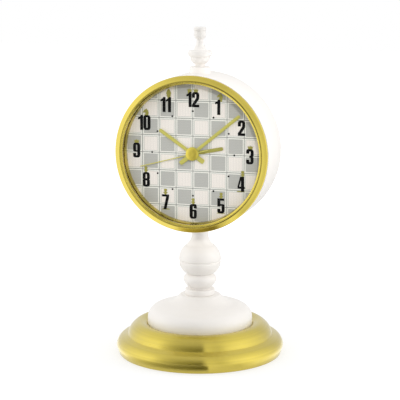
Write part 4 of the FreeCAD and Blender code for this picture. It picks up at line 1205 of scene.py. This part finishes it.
class CLOCK_OT_stage(bpy.types.Operator):
    """Pale floor, soft lights, white surroundings, a ring of grey cards and the camera"""
    bl_idname = "clock.stage"
    bl_label = "Stage"

    floor_size: length_property("Floor size", "Width of the floor", 6.0)
    card_start: length_property("Card start", "Radius where the cards' run along the floor starts", 0.0662)
    card_lift: length_property("Card lift", "Height of the cards' run over the floor", 0.0006)
    card_distance: length_property("Card distance", "Distance of the ring of cards", 1.5)
    card_height: length_property("Card height", "Height of the ring of cards", 1.7)

    def execute(self, context):
        stage = context.scene.clock_stage
        self.floor()
        self.surroundings(context, stage)
        self.lamp("right_soft_light", RIGHT_LAMP_AZIMUTH, stage.lamp_size, stage.right_power)
        self.lamp("left_soft_light", LEFT_LAMP_AZIMUTH, stage.lamp_size, stage.left_power)
        self.dial_spot(stage.dial_power)
        self.cards()
        self.camera(context, stage)
        context.scene.view_settings.view_transform = "Standard"
        return {"FINISHED"}

    def floor(self):
        """Floor that is white to the eye and keeps a faint contact shadow."""
        finish = Finish("studio_floor")
        x, y, _ = finish.axes()
        seen = finish.seen()
        away = finish.rise((x * x + y * y).root(), *FLOOR_FADE)
        glow = finish.mix(away, grey(0.7), grey(1.0))
        finish.set(Base_Color=finish.mix(seen, grey(0.6), grey(0.35)), Roughness=0.9, Specular_IOR_Level=0.0,
                   Emission_Color=finish.mix(seen, grey(0.0), glow), Emission_Strength=1.0)
        self.sheet("studio_floor", self.square(self.floor_size / 2, 0.0), finish.material)

    def surroundings(self, context, stage):
        """World that is white to the eye and softer as light."""
        world = bpy.data.worlds.new("white_studio")
        context.scene.world = world
        world.use_nodes = True
        background = world.node_tree.nodes["Background"]
        tree = ShaderTree(world.node_tree)
        tree.put(background.inputs["Color"], grey(1.0))
        tree.put(background.inputs["Strength"], tree.seen() * (1 - stage.world) + stage.world)

    def lamp(self, name, azimuth, size, power):
        """One square soft light aimed at the clock."""
        light = bpy.data.lights.new(name, "AREA")
        light.shape = "SQUARE"
        light.size = size
        light.energy = power
        self.hang(light, azimuth, LAMP_HEIGHT, LAMP_AIM)

    def dial_spot(self, power):
        """Narrow soft spot that lights the dial inside its bezel from the upper right."""
        light = bpy.data.lights.new("dial_spot", "SPOT")
        light.energy = power
        light.spot_size = 2 * math.atan(DIAL_SPOT_REACH / LAMP_DISTANCE)
        light.spot_blend = DIAL_SPOT_BLEND
        light.shadow_soft_size = DIAL_SPOT_SOFT_SIZE
        self.hang(light, DIAL_SPOT_AZIMUTH, DIAL_SPOT_HEIGHT, (0.0, DIAL_FACE_Y, DIAL_Z))

    def hang(self, light, azimuth, height, target):
        """Hangs a light at an azimuth and height, aimed at a target and unseen in reflections."""
        place = about_stand(LAMP_DISTANCE, height, math.radians(azimuth))
        lamp = linked(light.name, light)
        lamp.location = place
        lamp.rotation_euler = (Vector(target) - Vector(place)).to_track_quat("-Z", "Y").to_euler()
        lamp.visible_glossy = False

    def cards(self):
        """Ring of cards with its run along the floor, and a card overhead, for the metal."""
        reach_share, height_share = CROWN_SHARES
        section = (
            (self.card_start, self.card_lift),
            (self.card_distance, self.card_lift),
            (self.card_distance, self.card_height),
            (self.card_distance * reach_share, self.card_height * height_share),
        )
        turns = [FULL_TURN * step / RING_STEPS for step in range(RING_STEPS + 1)]
        rows = [[about_stand(reach, level, turn) for reach, level in section] for turn in turns]
        self.card("studio_ring", rows, self.ring_light())
        overhead = Finish("grey_card")
        overhead.set(Base_Color=grey(0.01), Roughness=1.0, Specular_IOR_Level=0.0, Emission_Color=grey(1.0),
                     Emission_Strength=1.0)
        self.card("grey_card", self.square(OVERHEAD_HALF, self.card_height * OVERHEAD_SHARE), overhead.material)

    def ring_light(self):
        """Material of the ring of cards, whose level varies round the clock and evens out at its top."""
        finish = Finish("studio_ring")
        x, y, z = finish.axes()
        ramp = finish.node("ShaderNodeValToRGB", inputs={0: x.turn_from(y * -1.0) / FULL_TURN + 0.5})
        # A new ramp has two stops already.
        stops = ramp.socket.node.color_ramp.elements
        for index, (degrees, level) in enumerate(CARD_LEVELS):
            place = degrees / 360 + 0.5
            stop = stops[index] if index < 2 else stops.new(place)
            stop.position = place
            stop.color = (*grey(level), 1.0)
        walls = finish.mix(finish.rise(z, *RING_FADE), ramp, grey(RING_TOP_LEVEL))
        reach = (x * x + y * y).root()
        near = finish.rise(reach, *RING_FLOOR_START)
        beyond = finish.rise(reach, *RING_FLOOR_END)
        return finish.glow(finish.mix(near * (1 - beyond), walls, grey(RING_FLOOR_LEVEL)), CARD_GAIN)

    def square(self, half, level):
        """Rows of points of a level square about the stand's axis."""
        return [[(x, y, level) for x in (-half, half)] for y in (-half, half)]

    def sheet(self, name, rows, material):
        """Stage piece from rows of points."""
        width = len(rows[0])
        starts = [row * width + index for row in range(len(rows) - 1) for index in range(width - 1)]
        mesh = bpy.data.meshes.new(name)
        mesh.from_pydata([point for row in rows for point in row], [],
                         [(start, start + 1, start + width + 1, start + width) for start in starts])
        mesh.materials.append(material)
        sheet = linked(name, mesh)
        return sheet

    def card(self, name, rows, material):
        """Sheet that only shiny surfaces show."""
        sheet = self.sheet(name, rows, material)
        sheet.visible_camera = False
        sheet.visible_diffuse = False
        sheet.visible_transmission = False
        sheet.visible_shadow = False

    def camera(self, context, stage):
        """Camera at the photograph's viewing angle."""
        data = bpy.data.cameras.new("view")
        data.lens = stage.lens
        data.sensor_width = SENSOR_WIDTH
        camera = linked("view", data)
        camera.location = CAMERA_PLACE
        camera.rotation_euler = (math.radians(90 - CAMERA_PITCH), 0, math.radians(CAMERA_TURN))
        context.scene.camera = camera


class CLOCK_PT_pieces(bpy.types.Panel):
    """Lists the clock's pieces and their settings"""
    bl_idname = "CLOCK_PT_pieces"
    bl_label = "Pedestal clock"
    bl_space_type = "VIEW_3D"
    bl_region_type = "UI"
    bl_category = "Clock"

    def draw(self, context):
        for operator in OPERATORS:
            self.layout.operator(operator.bl_idname)
        for key, group in SETTINGS.items():
            settings = getattr(context.scene, key)
            box = self.layout.box()
            box.label(text=group.__doc__)
            for name in group.__annotations__:
                box.prop(settings, name)


OPERATORS = (
    CLOCK_OT_base_ring,
    CLOCK_OT_painted_stand,
    CLOCK_OT_case,
    CLOCK_OT_figures,
    CLOCK_OT_dial,
    CLOCK_OT_hands,
    CLOCK_OT_back,
    CLOCK_OT_inner_works,
    CLOCK_OT_stage,
)


def register():
    """Registers the settings, operators and panel."""
    for key, group in SETTINGS.items():
        bpy.utils.register_class(group)
        setattr(bpy.types.Scene, key, PointerProperty(type=group))
    for operator in OPERATORS:
        bpy.utils.register_class(operator)
    bpy.utils.register_class(CLOCK_PT_pieces)


def unregister():
    """Removes what register added."""
    bpy.utils.unregister_class(CLOCK_PT_pieces)
    for operator in reversed(OPERATORS):
        bpy.utils.unregister_class(operator)
    for key, group in reversed(SETTINGS.items()):
        delattr(bpy.types.Scene, key)
        bpy.utils.unregister_class(group)


def main():
    """Makes every piece in order."""
    register()
    for operator in OPERATORS:
        family, name = operator.bl_idname.split(".")
        getattr(getattr(bpy.ops, family), name)()


if __name__ == "__main__":
    main()
